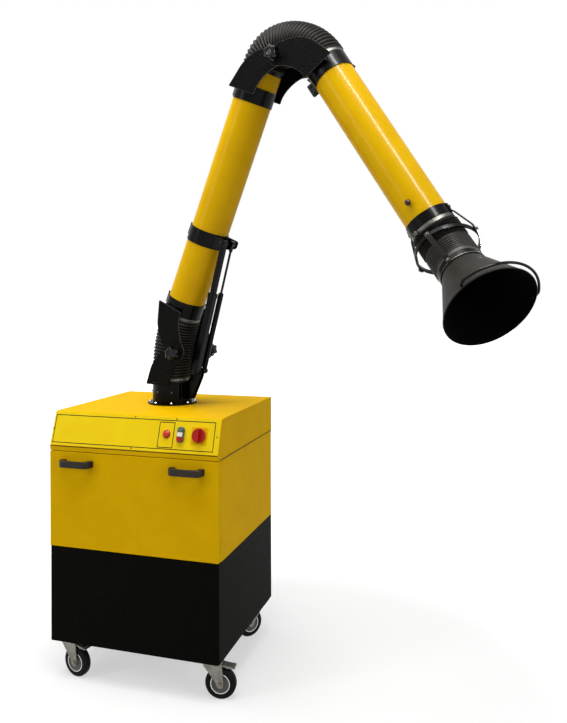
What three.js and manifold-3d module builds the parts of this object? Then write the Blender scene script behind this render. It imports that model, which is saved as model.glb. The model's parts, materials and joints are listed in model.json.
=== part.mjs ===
// Mobile fume filter cabinet with an articulated extraction arm on its top.
// Millimetres, +Z up. The front with the door faces -Y and +X is to the right.
// The origin lies on the floor under the middle of the whole machine.

import * as THREE from 'three';
import { mergeVertices } from 'three/addons/utils/BufferGeometryUtils.js';
import Module from 'manifold-3d';

const wasm = await Module();
wasm.setup();

// Cabinet body
const cabinetWidth = 736;
const cabinetDepth = 660;
const cornerRadius = 9;
const sheet = 2.5;
const baseHeight = 384;
const bayHeight = 390;
const coverHeight = 154;
const lipHeight = 22;
const consoleSetBack = 44;
const flangeWidth = 20;
const seatGap = 0.3;

// Front door
const doorDepth = 24;
const doorRim = 22;
const doorSeam = 2;
const gasketThickness = 4;
const gasketWidth = 14;
const gasketInset = 4;
const handleLength = 146;
const handleReach = 40;
const handleBar = 15;
const handleHeight = 26;
const handleFoot = 24;
const handleSpread = 240;
const handleDrop = 45;

// Filters and fan
const filterSideGap = 48;
const filterEndGap = 25.7;
const ledgeLap = 14;
const cassetteHeight = 200;
const cassetteFrame = 14;
const cassetteRise = 62;
const pleats = 14;
const pleatSheet = 9;
const prefilterHeight = 22;
const prefilterRise = 318;
const prefilterBar = 18;
const prefilterMat = 12;
const fanInletRadius = 105;
const scrollHeight = 110;
const scrollStart = 172;
const scrollGrowth = 82;
const outletWidth = 138;
const scrollSheet = 2;
const impellerRadius = 150;
const impellerWidth = 70;
const impellerSheet = 3;
const blades = 7;
const bladeSheet = 3;
const hubRadius = 24;
const motorRadius = 66;
const motorLength = 170;
const motorShaft = 12;
const motorFlangeRadius = 82;
const motorFlange = 8;
const grilleMargin = 22;
const grilleSheet = 3;
const louvres = 6;

// Castors
const castorHeight = 155;
const wheelRadius = 62.5;
const wheelWidth = 32;
const wheelSides = 16;
const castorTrail = 40;
const castorInsetX = 56;
const castorInsetY = 58;
const castorPlate = [106, 86, 5];
const raceRadius = 30;
const raceHeight = 12;
const kingpinRadius = 8;
const crownSheet = 6;
const forkSheet = 4;
const forkClearance = 3;
const axleRadius = 6;
const pedalReach = 58;
const pedalWidth = 40;
const pedalPinRadius = 3;
const pedalDrop = 4;
const castors = [
  { tag: 'front_left', x: -1, y: -1, heading: -12, brake: true },
  { tag: 'front_right', x: 1, y: -1, heading: 8, brake: true },
  { tag: 'rear_left', x: -1, y: 1, heading: 215, brake: false },
  { tag: 'rear_right', x: 1, y: 1, heading: 232, brake: false },
];

// Controls on the sloped console, measured along the slope from its middle
const lampX = 144;
const lampRadius = 15;
const pushX = 205;
const pushSize = [29, 60, 12];
const buttonSize = [21, 18, 10];
const buttonTravel = 4;
const buttonSpread = 19;
const switchX = 282;
const switchPlateSize = 66;
const switchPlateSheet = 4;
const switchRadius = 27;
const switchHeight = 9;
const switchBar = [50, 13, 14];

// Arm: duct tubes, joints and the pose it is shown in
const armX = 0;
const armY = 45;
const armSwing = -17;
const lowerLean = 23.7;
const upperLean = 33.7;
const hoodTurn = 28;
const hoodNod = -9.5;
const tubeRadius = 80;
const tubeWall = 2;
const tubeGap = 0.35;
const tubeSides = 20;
const pinSides = 10;
const pivotOffset = 113.5;
const shoulderHeight = 230;
const lowerLink = 1272;
const gimbalReach = 996;
const tubeEndReach = 100;
const elbowStub = 47;
const upperTubeEnd = 76;
const hoseGrip = 26;

// Turntable at the foot of the arm
const flangeRadius = 107;
const flangeSheet = 8;
const spigotHeight = 78;
const spigotWall = 5;
const drumRadius = 86;
const drumWall = 3;
const drumHeight = 86;
const drumTop = 4;
const neckHeight = 34;
const yokeRing = 5;
const yokeRingRadius = 98;

// Cheek plates, collars and friction knobs
const cheekSpacing = 90;
const cheekSheet = 4;
const cheekHalfWidth = 68;
const cheekRise = 166;
const cheekFoot = 88;
const cheekWaist = 44;
const cheekFlare = 14;
const cheekSweep = 60;
const cheekCorner = 6;
const pivotDisc = 38;
const collarReach = 136;
const collarWidth = 64;
const collarSheet = 3;
const earReach = 25;
const earSheet = 4;
const earMargin = 6;
const clampSlit = 6;
const padHalfWidth = 34;
const studRadius = 6;
const studGap = 0.35;
const knobRadius = 28;
const knobLobe = 3;
const knobLobes = 6;
const knobHeight = 34;
const washerRadius = 17;
const washerHeight = 12;

// Balance struts between the turntable and the clamp on the lower tube
const clampReach = 458;
const clampWidth = 64;
const lugSpacing = 42;
const lugSheet = 4;
const lugRadius = 16;
const bracketHalf = 12;
const bracketFoot = 24;
const bracketHeel = 34;
const bracketToe = 12;
const strutFootReach = 158;
const strutFootHeight = 147;
const strutTopOffset = 0;
const strutTopReach = 502;
const strutPin = 6;
const strutSide = 27;
const pinOverhang = 3;
const strutBody = 350;
const strutInside = 150;
const gasRadius = 11.5;
const gasRodRadius = 5;
const eyeRadius = 13;
const eyeWidth = 24;
const guideSize = 30;
const guideBar = 22;
const guideGap = 0.4;

// Ribbed hoses: bore, valley and crest radii follow from the tube they slip over
const hoseWall = 2.2;
const ribHeight = 4.6;
const hoseCuff = 10;
const shoulderRibs = 19;
const elbowRibs = 27;
const hoodUpperRibs = 8;
const hoodLowerRibs = 10;
const ribsPerBoreRing = 5;

// Hood and its two-axis ring joint
const ringRadius = 110;
const ringSheet = 6;
const ringHeight = 16;
const trunnionRadius = 5;
const stayWidth = 18;
const staySheet = 4;
const stayTip = 12;
const stayCollarReach = 138;
const stayCollarWidth = 38;
const hoodNeckReach = 84;
const hoodNeckEnd = 128;
const hoodBandReach = 104;
const hoodBandWidth = 22;
const hoodMouthReach = 313;
const hoodMouthRadius = 157;
const hoodWall = 2;
const rimBead = 3;
const gripRadius = 170;
const gripBar = 4.5;
const gripSetBack = 13;
const gripFrom = 135;
const gripTo = 268;
const gripSteps = 10;
const damperSetBack = 117;
const damperClearance = 2;
const damperSheet = 3;
const damperShaft = 5;
const damperKnobRadius = 10;
const damperKnobHeight = 15;

const deg = THREE.MathUtils.degToRad;
const TURN = Math.PI * 2;

const paint = (color, roughness, metalness = 0) =>
  new THREE.MeshStandardMaterial({ color, roughness, metalness });
const yellowPaint = paint(0xf2b705, 0.35);
const blackCoat = paint(0x1a1a19, 0.75);
const blackRubber = paint(0x2a2927, 0.85);
const blackPlastic = paint(0x121212, 0.5);
const zincSteel = paint(0x9a9c9e, 0.4, 0.9);
const filterPaper = paint(0xe4e0d2, 0.9);
const redPlastic = paint(0xc01818, 0.4);
const greenPlastic = paint(0x2c8a3c, 0.4);
const amberLens = paint(0xd8431a, 0.25);
const hoodGrey = paint(0x5c5a55, 0.6);

// Solids

function toSolid(geometry) {
  const bare = new THREE.BufferGeometry();
  bare.setAttribute('position', geometry.getAttribute('position').clone());
  bare.setIndex(geometry.getIndex());
  const welded = geometry.userData.closed ? bare : mergeVertices(bare, 1e-3);
  const points = welded.getAttribute('position');
  const corners = welded.getIndex().array;
  const [a, b, c] = [new THREE.Vector3(), new THREE.Vector3(), new THREE.Vector3()];
  const triangles = [];
  let volume = 0;
  for (let i = 0; i < corners.length; i += 3) {
    const [i0, i1, i2] = [corners[i], corners[i + 1], corners[i + 2]];
    if (i0 === i1 || i1 === i2 || i2 === i0) continue;
    triangles.push(i0, i1, i2);
    a.fromBufferAttribute(points, i0);
    b.fromBufferAttribute(points, i1);
    c.fromBufferAttribute(points, i2);
    volume += a.dot(b.cross(c));
  }
  if (volume < 0) triangles.reverse();
  return new wasm.Manifold(new wasm.Mesh({
    numProp: 3,
    vertProperties: new Float32Array(points.array),
    triVerts: new Uint32Array(triangles),
  }));
}

function toGeometry(solid) {
  const { vertProperties, triVerts } = solid.getMesh();
  const geometry = new THREE.BufferGeometry();
  geometry.setAttribute('position', new THREE.BufferAttribute(vertProperties, 3));
  geometry.setIndex(new THREE.BufferAttribute(triVerts, 1));
  geometry.userData.closed = true;
  return geometry;
}

const join = (...shapes) => toGeometry(shapes.map(toSolid).reduce((sum, next) => sum.add(next)));
const cut = (shape, ...tools) =>
  toGeometry(tools.map(toSolid).reduce((rest, tool) => rest.subtract(tool), toSolid(shape)));

function block([x0, x1], [y0, y1], [z0, z1]) {
  const geometry = new THREE.BoxGeometry(x1 - x0, y1 - y0, z1 - z0);
  return geometry.translate((x0 + x1) / 2, (y0 + y1) / 2, (z0 + z1) / 2);
}

// A profile of [radius, height] points turned about +Z
function turned(profile, sides = tubeSides) {
  const closed = profile.map(([r, z]) => new THREE.Vector2(r, z));
  if (profile[0][0] > 0) closed.push(closed[0].clone());
  return new THREE.LatheGeometry(closed, sides).rotateX(Math.PI / 2);
}

const disc = (radius, z0, z1, sides = pinSides) => turned([[0, z0], [radius, z0], [radius, z1], [0, z1]], sides);
const pipe = (inner, outer, z0, z1, sides = tubeSides) =>
  turned([[inner, z0], [outer, z0], [outer, z1], [inner, z1]], sides);
// Radius of a faceted bore whose flats stay clear of a pin that turns in it
const around = (radius, sides = pinSides) => radius / Math.cos(Math.PI / sides);
const alongY = (geometry) => geometry.rotateX(-Math.PI / 2);
const alongX = (geometry) => geometry.rotateY(Math.PI / 2);

// A closed outline of [x, y, corner radius] points
function outline(points) {
  const at = (i) => new THREE.Vector2(...points[(i + points.length) % points.length].slice(0, 2));
  const shape = new THREE.Shape();
  points.forEach(([, , radius = 0], i) => {
    const here = at(i);
    const before = at(i - 1).sub(here);
    const after = at(i + 1).sub(here);
    const reach = Math.min(radius, before.length() * 0.49, after.length() * 0.49);
    const start = here.clone().add(before.setLength(reach));
    const end = here.clone().add(after.setLength(reach));
    if (i === 0) shape.moveTo(start.x, start.y);
    else shape.lineTo(start.x, start.y);
    if (reach > 0) shape.quadraticCurveTo(here.x, here.y, end.x, end.y);
  });
  shape.closePath();
  return shape;
}

const rectangle = (width, height, radius = 0) =>
  outline([[-1, -1], [1, -1], [1, 1], [-1, 1]].map(([x, y]) => [x * width / 2, y * height / 2, radius]));

function extrude(shape, from, to, curveSegments = 2) {
  const options = { depth: to - from, bevelEnabled: false, curveSegments };
  return new THREE.ExtrudeGeometry(shape, options).translate(0, 0, from);
}

// The same outline standing in the XZ plane or the YZ plane
const extrudeXZ = (shape, y0, y1, segments) => extrude(shape, -y1, -y0, segments).rotateX(Math.PI / 2);
const standUp = new THREE.Matrix4().makeBasis(
  new THREE.Vector3(0, 1, 0), new THREE.Vector3(0, 0, 1), new THREE.Vector3(1, 0, 0));
const extrudeYZ = (shape, x0, x1, segments) => extrude(shape, x0, x1, segments).applyMatrix4(standUp);

function frameAt(parent, x, y, z, name = '') {
  const group = new THREE.Group();
  group.position.set(x, y, z);
  group.name = name;
  parent.add(group);
  return group;
}

function piece(parent, name, material, geometry) {
  const mesh = new THREE.Mesh(join(geometry), material);
  mesh.name = name;
  parent.add(mesh);
}

const machine = new THREE.Group();

// Levels of the cabinet above the floor
const baseTop = castorHeight + baseHeight;
const bayTop = baseTop + bayHeight;
const coverFoot = bayTop + seatGap;
const coverTop = coverFoot + coverHeight;
const frontY = -cabinetDepth / 2;
const backY = cabinetDepth / 2;
const halfWidth = cabinetWidth / 2;
const bayFront = frontY + doorDepth + gasketThickness + 2 * seatGap;

// The filters fill the bay up to their gaps and rest on ledges along its sides
const cassetteWidth = cabinetWidth - 2 * filterSideGap;
const cassetteDepth = backY - bayFront - 2 * filterEndGap;
const ledgeWidth = filterSideGap + ledgeLap;

// Fan scroll: a spiral that opens into an outlet towards the back
const scrollTop = baseTop - seatGap;
const scrollFoot = scrollTop - scrollHeight;
const outletX = scrollStart + scrollGrowth;

function scrollShape(inset, outletEnd) {
  const tongue = Math.acos((outletX - outletWidth) / scrollStart);
  const steps = 12;
  const shape = new THREE.Shape();
  shape.moveTo(outletX - outletWidth + inset, outletEnd);
  for (let i = 0; i <= steps; i += 1) {
    const angle = tongue + (TURN - tongue) * (i / steps);
    const radius = scrollStart + scrollGrowth * (i / steps) - inset;
    shape.lineTo(radius * Math.cos(angle), radius * Math.sin(angle));
  }
  shape.lineTo(outletX - inset, outletEnd);
  shape.closePath();
  return shape;
}

function addFan() {
  const outletEnd = backY - sheet - seatGap;
  const housing = cut(
    extrude(scrollShape(0, outletEnd), scrollFoot, scrollTop),
    extrude(scrollShape(scrollSheet, outletEnd + sheet), scrollFoot + scrollSheet, scrollTop - scrollSheet),
    disc(fanInletRadius, scrollTop - 2 * scrollSheet, scrollTop + scrollSheet, tubeSides),
    disc(hubRadius + seatGap, scrollFoot - scrollSheet, scrollFoot + 2 * scrollSheet, tubeSides),
  );
  piece(machine, 'fan_scroll', zincSteel, housing);

  const wheelFoot = scrollFoot + (scrollHeight - impellerWidth) / 2;
  const wheelTop = wheelFoot + impellerWidth;
  const wheel = [
    disc(impellerRadius, wheelFoot, wheelFoot + impellerSheet, tubeSides),
    pipe(fanInletRadius, impellerRadius, wheelTop - impellerSheet, wheelTop),
    disc(hubRadius, wheelFoot, wheelFoot + impellerWidth / 2, tubeSides),
  ];
  for (let i = 0; i < blades; i += 1) {
    const sweep = (side) => [0, 1, 2].map((k) => {
      const radius = THREE.MathUtils.lerp(fanInletRadius * 0.7, impellerRadius - 1, k / 2);
      const angle = TURN * i / blades - k * 0.39;
      return new THREE.Vector2(radius, side * bladeSheet / 2).rotateAround(new THREE.Vector2(), angle);
    });
    const blade = new THREE.Shape([...sweep(-1), ...sweep(1).reverse()]);
    wheel.push(extrude(blade, wheelFoot + impellerSheet / 2, wheelTop - impellerSheet / 2));
  }
  const bore = disc(motorShaft + seatGap, wheelFoot - 1, wheelTop + 1, tubeSides);
  const spin = frameAt(machine, 0, 0, 0, 'fan_spin');
  piece(spin, 'fan_impeller', zincSteel, cut(join(...wheel), bore));

  const flangeTop = scrollFoot - seatGap;
  const bodyTop = flangeTop - motorFlange;
  const shaftTop = wheelFoot + impellerWidth / 2 - 1;
  const motor = turned([
    [0, bodyTop - motorLength], [motorRadius * 0.8, bodyTop - motorLength],
    [motorRadius, bodyTop - motorLength + 16], [motorRadius, bodyTop], [motorFlangeRadius, bodyTop],
    [motorFlangeRadius, flangeTop], [motorShaft, flangeTop], [motorShaft, shaftTop], [0, shaftTop],
  ], pinSides);
  piece(machine, 'fan_motor', blackCoat, motor);
}

function addCabinet() {
  const footprint = rectangle(cabinetWidth, cabinetDepth, cornerRadius);
  const cavity = rectangle(cabinetWidth - 2 * sheet, cabinetDepth - 2 * sheet, cornerRadius - sheet);
  const outlet = block(
    [outletX - outletWidth + scrollSheet, outletX - scrollSheet],
    [backY - 2 * sheet, backY + sheet],
    [scrollFoot + scrollSheet, scrollTop - scrollSheet]);
  const base = cut(
    extrude(footprint, castorHeight, baseTop - seatGap),
    extrude(cavity, castorHeight + sheet, baseTop + sheet),
    outlet);
  piece(machine, 'base_frame', blackCoat, base);

  const grilleX = [outletX - outletWidth - grilleMargin, outletX + grilleMargin];
  const grilleZ = [scrollFoot - grilleMargin, scrollTop - grilleMargin / 2];
  const grilleY = backY + seatGap;
  const slatPitch = (scrollHeight - 2 * scrollSheet) / louvres;
  const slots = [];
  for (let i = 0; i < louvres; i += 1) {
    const z = scrollFoot + scrollSheet + slatPitch * i;
    slots.push(block([grilleX[0] + grilleMargin, grilleX[1] - grilleMargin],
      [grilleY - 1, grilleY + grilleSheet + 1], [z + slatPitch * 0.15, z + slatPitch * 0.6]));
  }
  const panel = block(grilleX, [grilleY, grilleY + grilleSheet], grilleZ);
  piece(machine, 'exhaust_grille', blackCoat, cut(panel, ...slots));

  // Filter bay: floor with the fan inlet, flanged front and ledges for the filters
  const bayDepth = backY - bayFront;
  const bay = (inset) => {
    const shape = rectangle(cabinetWidth - 2 * inset, bayDepth - 2 * inset, cornerRadius - inset);
    return (from, to) => extrude(shape, from, to).translate(0, (bayFront + backY) / 2, 0);
  };
  const ledgeLevels = [cassetteRise, prefilterRise];
  const ledges = ledgeLevels.flatMap((rise) => [-1, 1].map((side) => {
    const span = [side * (halfWidth - sheet / 2), side * (halfWidth - ledgeWidth)].sort((a, b) => a - b);
    const level = baseTop + rise;
    return block(span, [bayFront + sheet / 2, backY - sheet / 2], [level - sheet, level]);
  }));
  const doorway = block(
    [-halfWidth + flangeWidth, halfWidth - flangeWidth],
    [bayFront - sheet, bayFront + 2 * sheet],
    [baseTop + flangeWidth, bayTop - flangeWidth]);
  const hollow = cut(bay(0)(baseTop, bayTop), bay(sheet)(baseTop + sheet, bayTop + sheet), doorway);
  const inlet = disc(fanInletRadius, baseTop - sheet, baseTop + 2 * sheet, tubeSides);
  piece(machine, 'upper_cabinet', yellowPaint, join(cut(hollow, inlet), ...ledges));
}

function addFilters() {
  const midY = (bayFront + backY) / 2;
  const foot = baseTop + cassetteRise + seatGap;
  const outer = rectangle(cassetteWidth, cassetteDepth, 4);
  const inner = rectangle(cassetteWidth - 2 * cassetteFrame, cassetteDepth - 2 * cassetteFrame);
  const frame = cut(extrude(outer, 0, cassetteHeight), extrude(inner, -1, cassetteHeight + 1));
  const folds = 2 * pleats;
  const low = cassetteFrame;
  const high = cassetteHeight - cassetteFrame - pleatSheet;
  const span = cassetteWidth - cassetteFrame;
  const zigzag = (lift) => Array.from({ length: folds + 1 }, (_, i) =>
    new THREE.Vector2(-span / 2 + span * i / folds, (i % 2 ? high : low) + lift));
  const paper = new THREE.Shape([...zigzag(0), ...zigzag(pleatSheet).reverse()]);
  const depth = cassetteDepth - cassetteFrame;
  const media = extrudeXZ(paper, -depth / 2, depth / 2);
  piece(machine, 'filter_cassette', filterPaper, join(frame, media).translate(0, midY, foot));

  // Prefilter: knitted metal mat in a channel frame, drawn closed
  const meshFoot = baseTop + prefilterRise + seatGap;
  const mat = rectangle(cassetteWidth - prefilterBar, cassetteDepth - prefilterBar);
  const matFoot = (prefilterHeight - prefilterMat) / 2;
  const window = rectangle(cassetteWidth - 2 * prefilterBar, cassetteDepth - 2 * prefilterBar);
  const channel = cut(extrude(outer, 0, prefilterHeight), extrude(window, -1, prefilterHeight + 1));
  const grid = join(channel, extrude(mat, matFoot, matFoot + prefilterMat));
  piece(machine, 'prefilter', zincSteel, grid.translate(0, midY, meshFoot));
}

function addCover() {
  const slope = Math.atan2(consoleSetBack, coverHeight - lipHeight);
  const profile = (inset, foot) => {
    const front = frontY + inset;
    const lean = inset / Math.cos(slope) - inset;
    const top = coverTop - inset;
    const lipTop = coverFoot + lipHeight;
    const topFront = front + lean + consoleSetBack - inset * Math.tan(slope);
    return outline([
      [front, foot], [front, lipTop - lean, 3], [topFront, top, 8],
      [backY - inset, top, 6], [backY - inset, foot],
    ]);
  };
  const shell = cut(
    extrudeYZ(profile(0, coverFoot), -halfWidth, halfWidth),
    extrudeYZ(profile(sheet, coverFoot - sheet), -halfWidth + sheet, halfWidth - sheet),
    disc(tubeRadius, coverTop - 2 * sheet, coverTop + sheet, tubeSides).translate(armX, armY, 0));
  piece(machine, 'top_cover', yellowPaint, shell);

  // Controls: local X to the right, local Y up the slope, local Z out of the panel
  const panelMid = coverFoot + lipHeight + (coverHeight - lipHeight) / 2;
  const panel = frameAt(machine, 0, frontY + consoleSetBack / 2, panelMid, 'console');
  panel.rotation.x = Math.PI / 2 - slope;

  const lamp = turned([
    [0, seatGap], [lampRadius, seatGap], [lampRadius, 4], [lampRadius * 0.76, 5],
    [lampRadius * 0.7, 9], [lampRadius * 0.4, 12.5], [0, 13.5],
  ], pinSides);
  piece(panel, 'pilot_lamp', amberLens, lamp.translate(lampX, 0, 0));

  const [pushWidth, pushLength, pushHeight] = pushSize;
  const [buttonWidth, buttonLength, buttonHeight] = buttonSize;
  const floor = 2;
  const pocket = rectangle(buttonWidth + 2 * seatGap, buttonLength + 2 * seatGap, 4);
  const pockets = [-1, 1].map((side) =>
    extrude(pocket, floor, pushHeight + 1).translate(0, side * buttonSpread, 0));
  const bezel = cut(extrude(rectangle(pushWidth, pushLength, 8), seatGap, pushHeight), ...pockets);
  piece(panel, 'button_bezel', blackPlastic, bezel.translate(pushX, 0, 0));
  const button = () => {
    const rest = floor + buttonTravel + seatGap;
    return extrude(rectangle(buttonWidth, buttonLength, 4), rest, rest + buttonHeight);
  };
  const start = frameAt(panel, pushX, buttonSpread, 0, 'start_press');
  piece(start, 'start_button', greenPlastic, button());
  const stop = frameAt(panel, pushX, -buttonSpread, 0, 'stop_press');
  piece(stop, 'stop_button', redPlastic, button());

  const spindle = 6;
  const plateTop = seatGap + switchPlateSheet;
  const plate = extrude(rectangle(switchPlateSize, switchPlateSize, 6), seatGap, plateTop);
  const plateHole = disc(around(spindle + seatGap), 0, plateTop + 1);
  piece(panel, 'switch_plate', yellowPaint, cut(plate, plateHole).translate(switchX, 0, 0));
  const [barLength, barWidth, barHeight] = switchBar;
  const knobFoot = plateTop + seatGap;
  const knob = join(
    turned([[0, knobFoot], [switchRadius, knobFoot], [switchRadius, knobFoot + switchHeight - 2],
      [switchRadius - 2, knobFoot + switchHeight], [0, knobFoot + switchHeight]], 16),
    extrude(rectangle(barWidth, barLength, 5), knobFoot, knobFoot + switchHeight + barHeight),
    disc(spindle, seatGap, knobFoot + 1));
  const turn = frameAt(panel, switchX, 0, 0, 'switch_turn');
  piece(turn, 'main_switch', redPlastic, knob);
}

function addDoor() {
  const hinge = frameAt(machine, 0, frontY, baseTop, 'door_hinge');
  const width = cabinetWidth;
  const foot = doorSeam;
  const top = bayHeight - doorSeam;
  const pan = cut(
    block([-width / 2, width / 2], [0, doorDepth], [foot, top]),
    block([-width / 2 + doorRim, width / 2 - doorRim], [sheet, doorDepth + 1], [foot + doorRim, top - doorRim]));
  piece(hinge, 'front_door', yellowPaint, pan);

  const handle = outline([
    [-handleLength / 2, 0, 3], [-handleLength / 2 + 7, -handleReach, 20],
    [handleLength / 2 - 7, -handleReach, 20], [handleLength / 2, 0, 3],
    [handleLength / 2 - handleFoot, 0, 2], [handleLength / 2 - handleFoot - 3, handleBar - handleReach, 10],
    [handleFoot + 3 - handleLength / 2, handleBar - handleReach, 10], [handleFoot - handleLength / 2, 0, 2],
  ]);
  for (const [tag, side] of [['left', -1], ['right', 1]]) {
    const bar = extrude(handle, -handleHeight / 2, handleHeight / 2, 3);
    bar.translate(side * handleSpread, -seatGap, bayHeight - handleDrop);
    piece(hinge, `door_handle_${tag}`, blackPlastic, bar);
  }

  const outerWidth = cabinetWidth - 2 * gasketInset;
  const outerHeight = bayHeight - 2 * gasketInset;
  const ring = (inset) => rectangle(outerWidth - 2 * inset, outerHeight - 2 * inset, 6);
  const gasketBack = bayFront - seatGap;
  const gasket = cut(
    extrudeXZ(ring(0), gasketBack - gasketThickness, gasketBack),
    extrudeXZ(ring(gasketWidth), gasketBack - gasketThickness - 1, gasketBack + 1));
  piece(machine, 'door_gasket', blackRubber, gasket.translate(0, 0, baseTop + bayHeight / 2));
}

function addCastor({ tag, x, y, heading, brake }) {
  const swivelX = x * (halfWidth - castorInsetX);
  const swivelY = y * (cabinetDepth / 2 - castorInsetY);
  const [plateX, plateY, plateZ] = castorPlate;
  const plateTop = castorHeight - seatGap;
  const raceTop = plateTop - plateZ;
  const raceFoot = raceTop - raceHeight;
  const base = frameAt(machine, swivelX, swivelY, 0);
  const plate = join(
    extrude(rectangle(plateX, plateY, 8), raceTop, plateTop),
    turned([[0, raceFoot], [raceRadius, raceFoot], [raceRadius, raceFoot + 5],
      [raceRadius - 5, raceTop + 1], [0, raceTop + 1]], pinSides));
  const socket = disc(around(kingpinRadius + seatGap), raceFoot - 1, raceTop);
  piece(base, `castor_plate_${tag}`, zincSteel, cut(plate, socket));

  const swivel = frameAt(base, 0, 0, 0, `castor_swivel_${tag}`);
  swivel.rotation.z = deg(heading);
  const axleZ = wheelRadius * Math.cos(Math.PI / wheelSides);
  const crownTop = raceFoot - seatGap;
  const crownFoot = crownTop - crownSheet;
  const legInner = wheelWidth / 2 + forkClearance;
  const legOuter = legInner + forkSheet;
  const boss = 15;
  const pinX = castorTrail;
  const pinZ = crownTop - pedalDrop;
  const leg = outline([
    [-26, crownFoot, 4], [-26, crownTop, 2], [raceRadius + 2, crownTop, 1], [pinX - 5, pinZ + 6, 3],
    [pinX + 8, pinZ + 6, 5], [pinX + 9, crownFoot, 6], [castorTrail + boss, axleZ, 8],
    [castorTrail + boss * 0.7, axleZ - boss, 10], [castorTrail - boss * 0.7, axleZ - boss, 10],
    [castorTrail - boss, axleZ + 6, 10],
  ]);
  const pin = (radius, reach, px, pz) => alongY(disc(radius, -reach, reach, 8)).translate(px, 0, pz);
  const fork = [
    block([-26, raceRadius], [-legOuter, legOuter], [crownFoot, crownTop]),
    extrudeXZ(leg, legInner, legOuter, 1), extrudeXZ(leg, -legOuter, -legInner, 1),
    disc(kingpinRadius, crownFoot, raceTop - 2),
    pin(axleRadius, legOuter, castorTrail, axleZ), pin(axleRadius * 1.7, legOuter + 6, castorTrail, axleZ),
  ];
  const hubSpace = pin(axleRadius * 2, legInner, castorTrail, axleZ);
  const rest = cut(join(...fork), hubSpace);
  const parts = [rest, pin(axleRadius, legOuter, castorTrail, axleZ)];
  if (brake) parts.push(pin(pedalPinRadius, legOuter, pinX, pinZ));
  piece(swivel, `castor_fork_${tag}`, zincSteel, join(...parts));

  const roll = frameAt(swivel, castorTrail, 0, axleZ, `wheel_roll_${tag}`);
  const half = wheelWidth / 2;
  const tread = turned([
    [axleRadius + seatGap, -half - 2], [axleRadius + 9, -half - 2], [wheelRadius - 8, -half],
    [wheelRadius, -half + 6], [wheelRadius, half - 6], [wheelRadius - 8, half],
    [axleRadius + 9, half + 2], [axleRadius + seatGap, half + 2],
  ], wheelSides);
  const flatDown = deg(180 / wheelSides);
  piece(roll, `castor_wheel_${tag}`, blackRubber, alongY(tread).rotateY(flatDown));

  if (!brake) return;
  const pedal = frameAt(swivel, pinX, 0, pinZ, `pedal_press_${tag}`);
  const barrel = pedalPinRadius + 3;
  const barrelHalf = legInner - seatGap;
  const blade = outline([[0, -2, 0], [pedalReach, -11, 3], [pedalReach + 2, -6, 3], [0, 3, 0]]);
  const lever = join(
    alongY(disc(barrel, -barrelHalf, barrelHalf, 8)),
    extrudeXZ(blade, -barrelHalf, barrelHalf),
    extrudeXZ(outline([[pedalReach * 0.4, -7.6, 1], [pedalReach, -11, 3], [pedalReach + 2, -6, 3],
      [pedalReach * 0.4, -2.4, 1]]), -pedalWidth / 2, pedalWidth / 2));
  const bore = alongY(disc(around(pedalPinRadius + seatGap, 8), -barrelHalf - 1, barrelHalf + 1, 8));
  piece(pedal, `brake_pedal_${tag}`, blackPlastic, cut(lever, bore));
}

// Arm

const hoseBore = tubeRadius + tubeGap;
const hoseRoot = hoseBore + hoseWall;
const hoseCrest = hoseRoot + ribHeight;
const collarBore = tubeRadius + tubeGap;
const collarRadius = collarBore + collarSheet;

// A corrugated hose on a flat curve: rings of points outside, fewer inside, joined at both ends
function ribbedHose(path, across, ribs, gripIn, gripOut, twist = [0, 0]) {
  const length = path.getLength();
  const rings = [];
  const ring = (u, radius) => {
    const centre = path.getPointAt(u);
    const side = path.getTangentAt(u).cross(across).normalize();
    return Array.from({ length: tubeSides }, (_, i) => {
      const angle = TURN * i / tubeSides + THREE.MathUtils.lerp(...twist, u);
      return centre.clone()
        .addScaledVector(side, radius * Math.cos(angle))
        .addScaledVector(across, radius * Math.sin(angle));
    });
  };
  const cuff = hoseCuff / length;
  const step = (1 - 2 * cuff) / ribs;
  rings.push(ring(0, hoseRoot));
  for (let i = 0; i < ribs; i += 1) {
    rings.push(ring(cuff + step * i, hoseRoot));
    rings.push(ring(cuff + step * (i + 0.5), hoseCrest));
  }
  rings.push(ring(1 - cuff, hoseRoot));
  rings.push(ring(1, hoseRoot));
  const bendSteps = Math.ceil(ribs / ribsPerBoreRing);
  const bend = Array.from({ length: bendSteps + 1 }, (_, i) =>
    THREE.MathUtils.lerp(gripIn / length, 1 - gripOut / length, i / bendSteps));
  const stations = [...(gripIn > 0 ? [0] : []), ...bend, ...(gripOut > 0 ? [1] : [])];
  stations.reverse().forEach((u) => rings.push(ring(u, hoseBore)));

  const geometry = new THREE.BufferGeometry().setFromPoints(rings.flat());
  const faces = [];
  rings.forEach((_, j) => {
    const here = j * tubeSides;
    const next = ((j + 1) % rings.length) * tubeSides;
    for (let i = 0; i < tubeSides; i += 1) {
      const k = (i + 1) % tubeSides;
      faces.push(here + i, here + k, next + k, here + i, next + k, next + i);
    }
  });
  geometry.setIndex(faces);
  return geometry;
}

// Straight, bent, straight: the way a hose leaves one tube and enters the next
function hosePath(start, startWay, gripIn, end, endWay, gripOut, bend) {
  const leave = start.clone().addScaledVector(startWay, gripIn);
  const enter = end.clone().addScaledVector(endWay, -gripOut);
  const path = new THREE.CurvePath();
  path.add(new THREE.LineCurve3(start, leave));
  path.add(new THREE.CubicBezierCurve3(leave, leave.clone().addScaledVector(startWay, bend),
    enter.clone().addScaledVector(endWay, -bend), enter));
  path.add(new THREE.LineCurve3(enter, end));
  return path;
}

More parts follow.
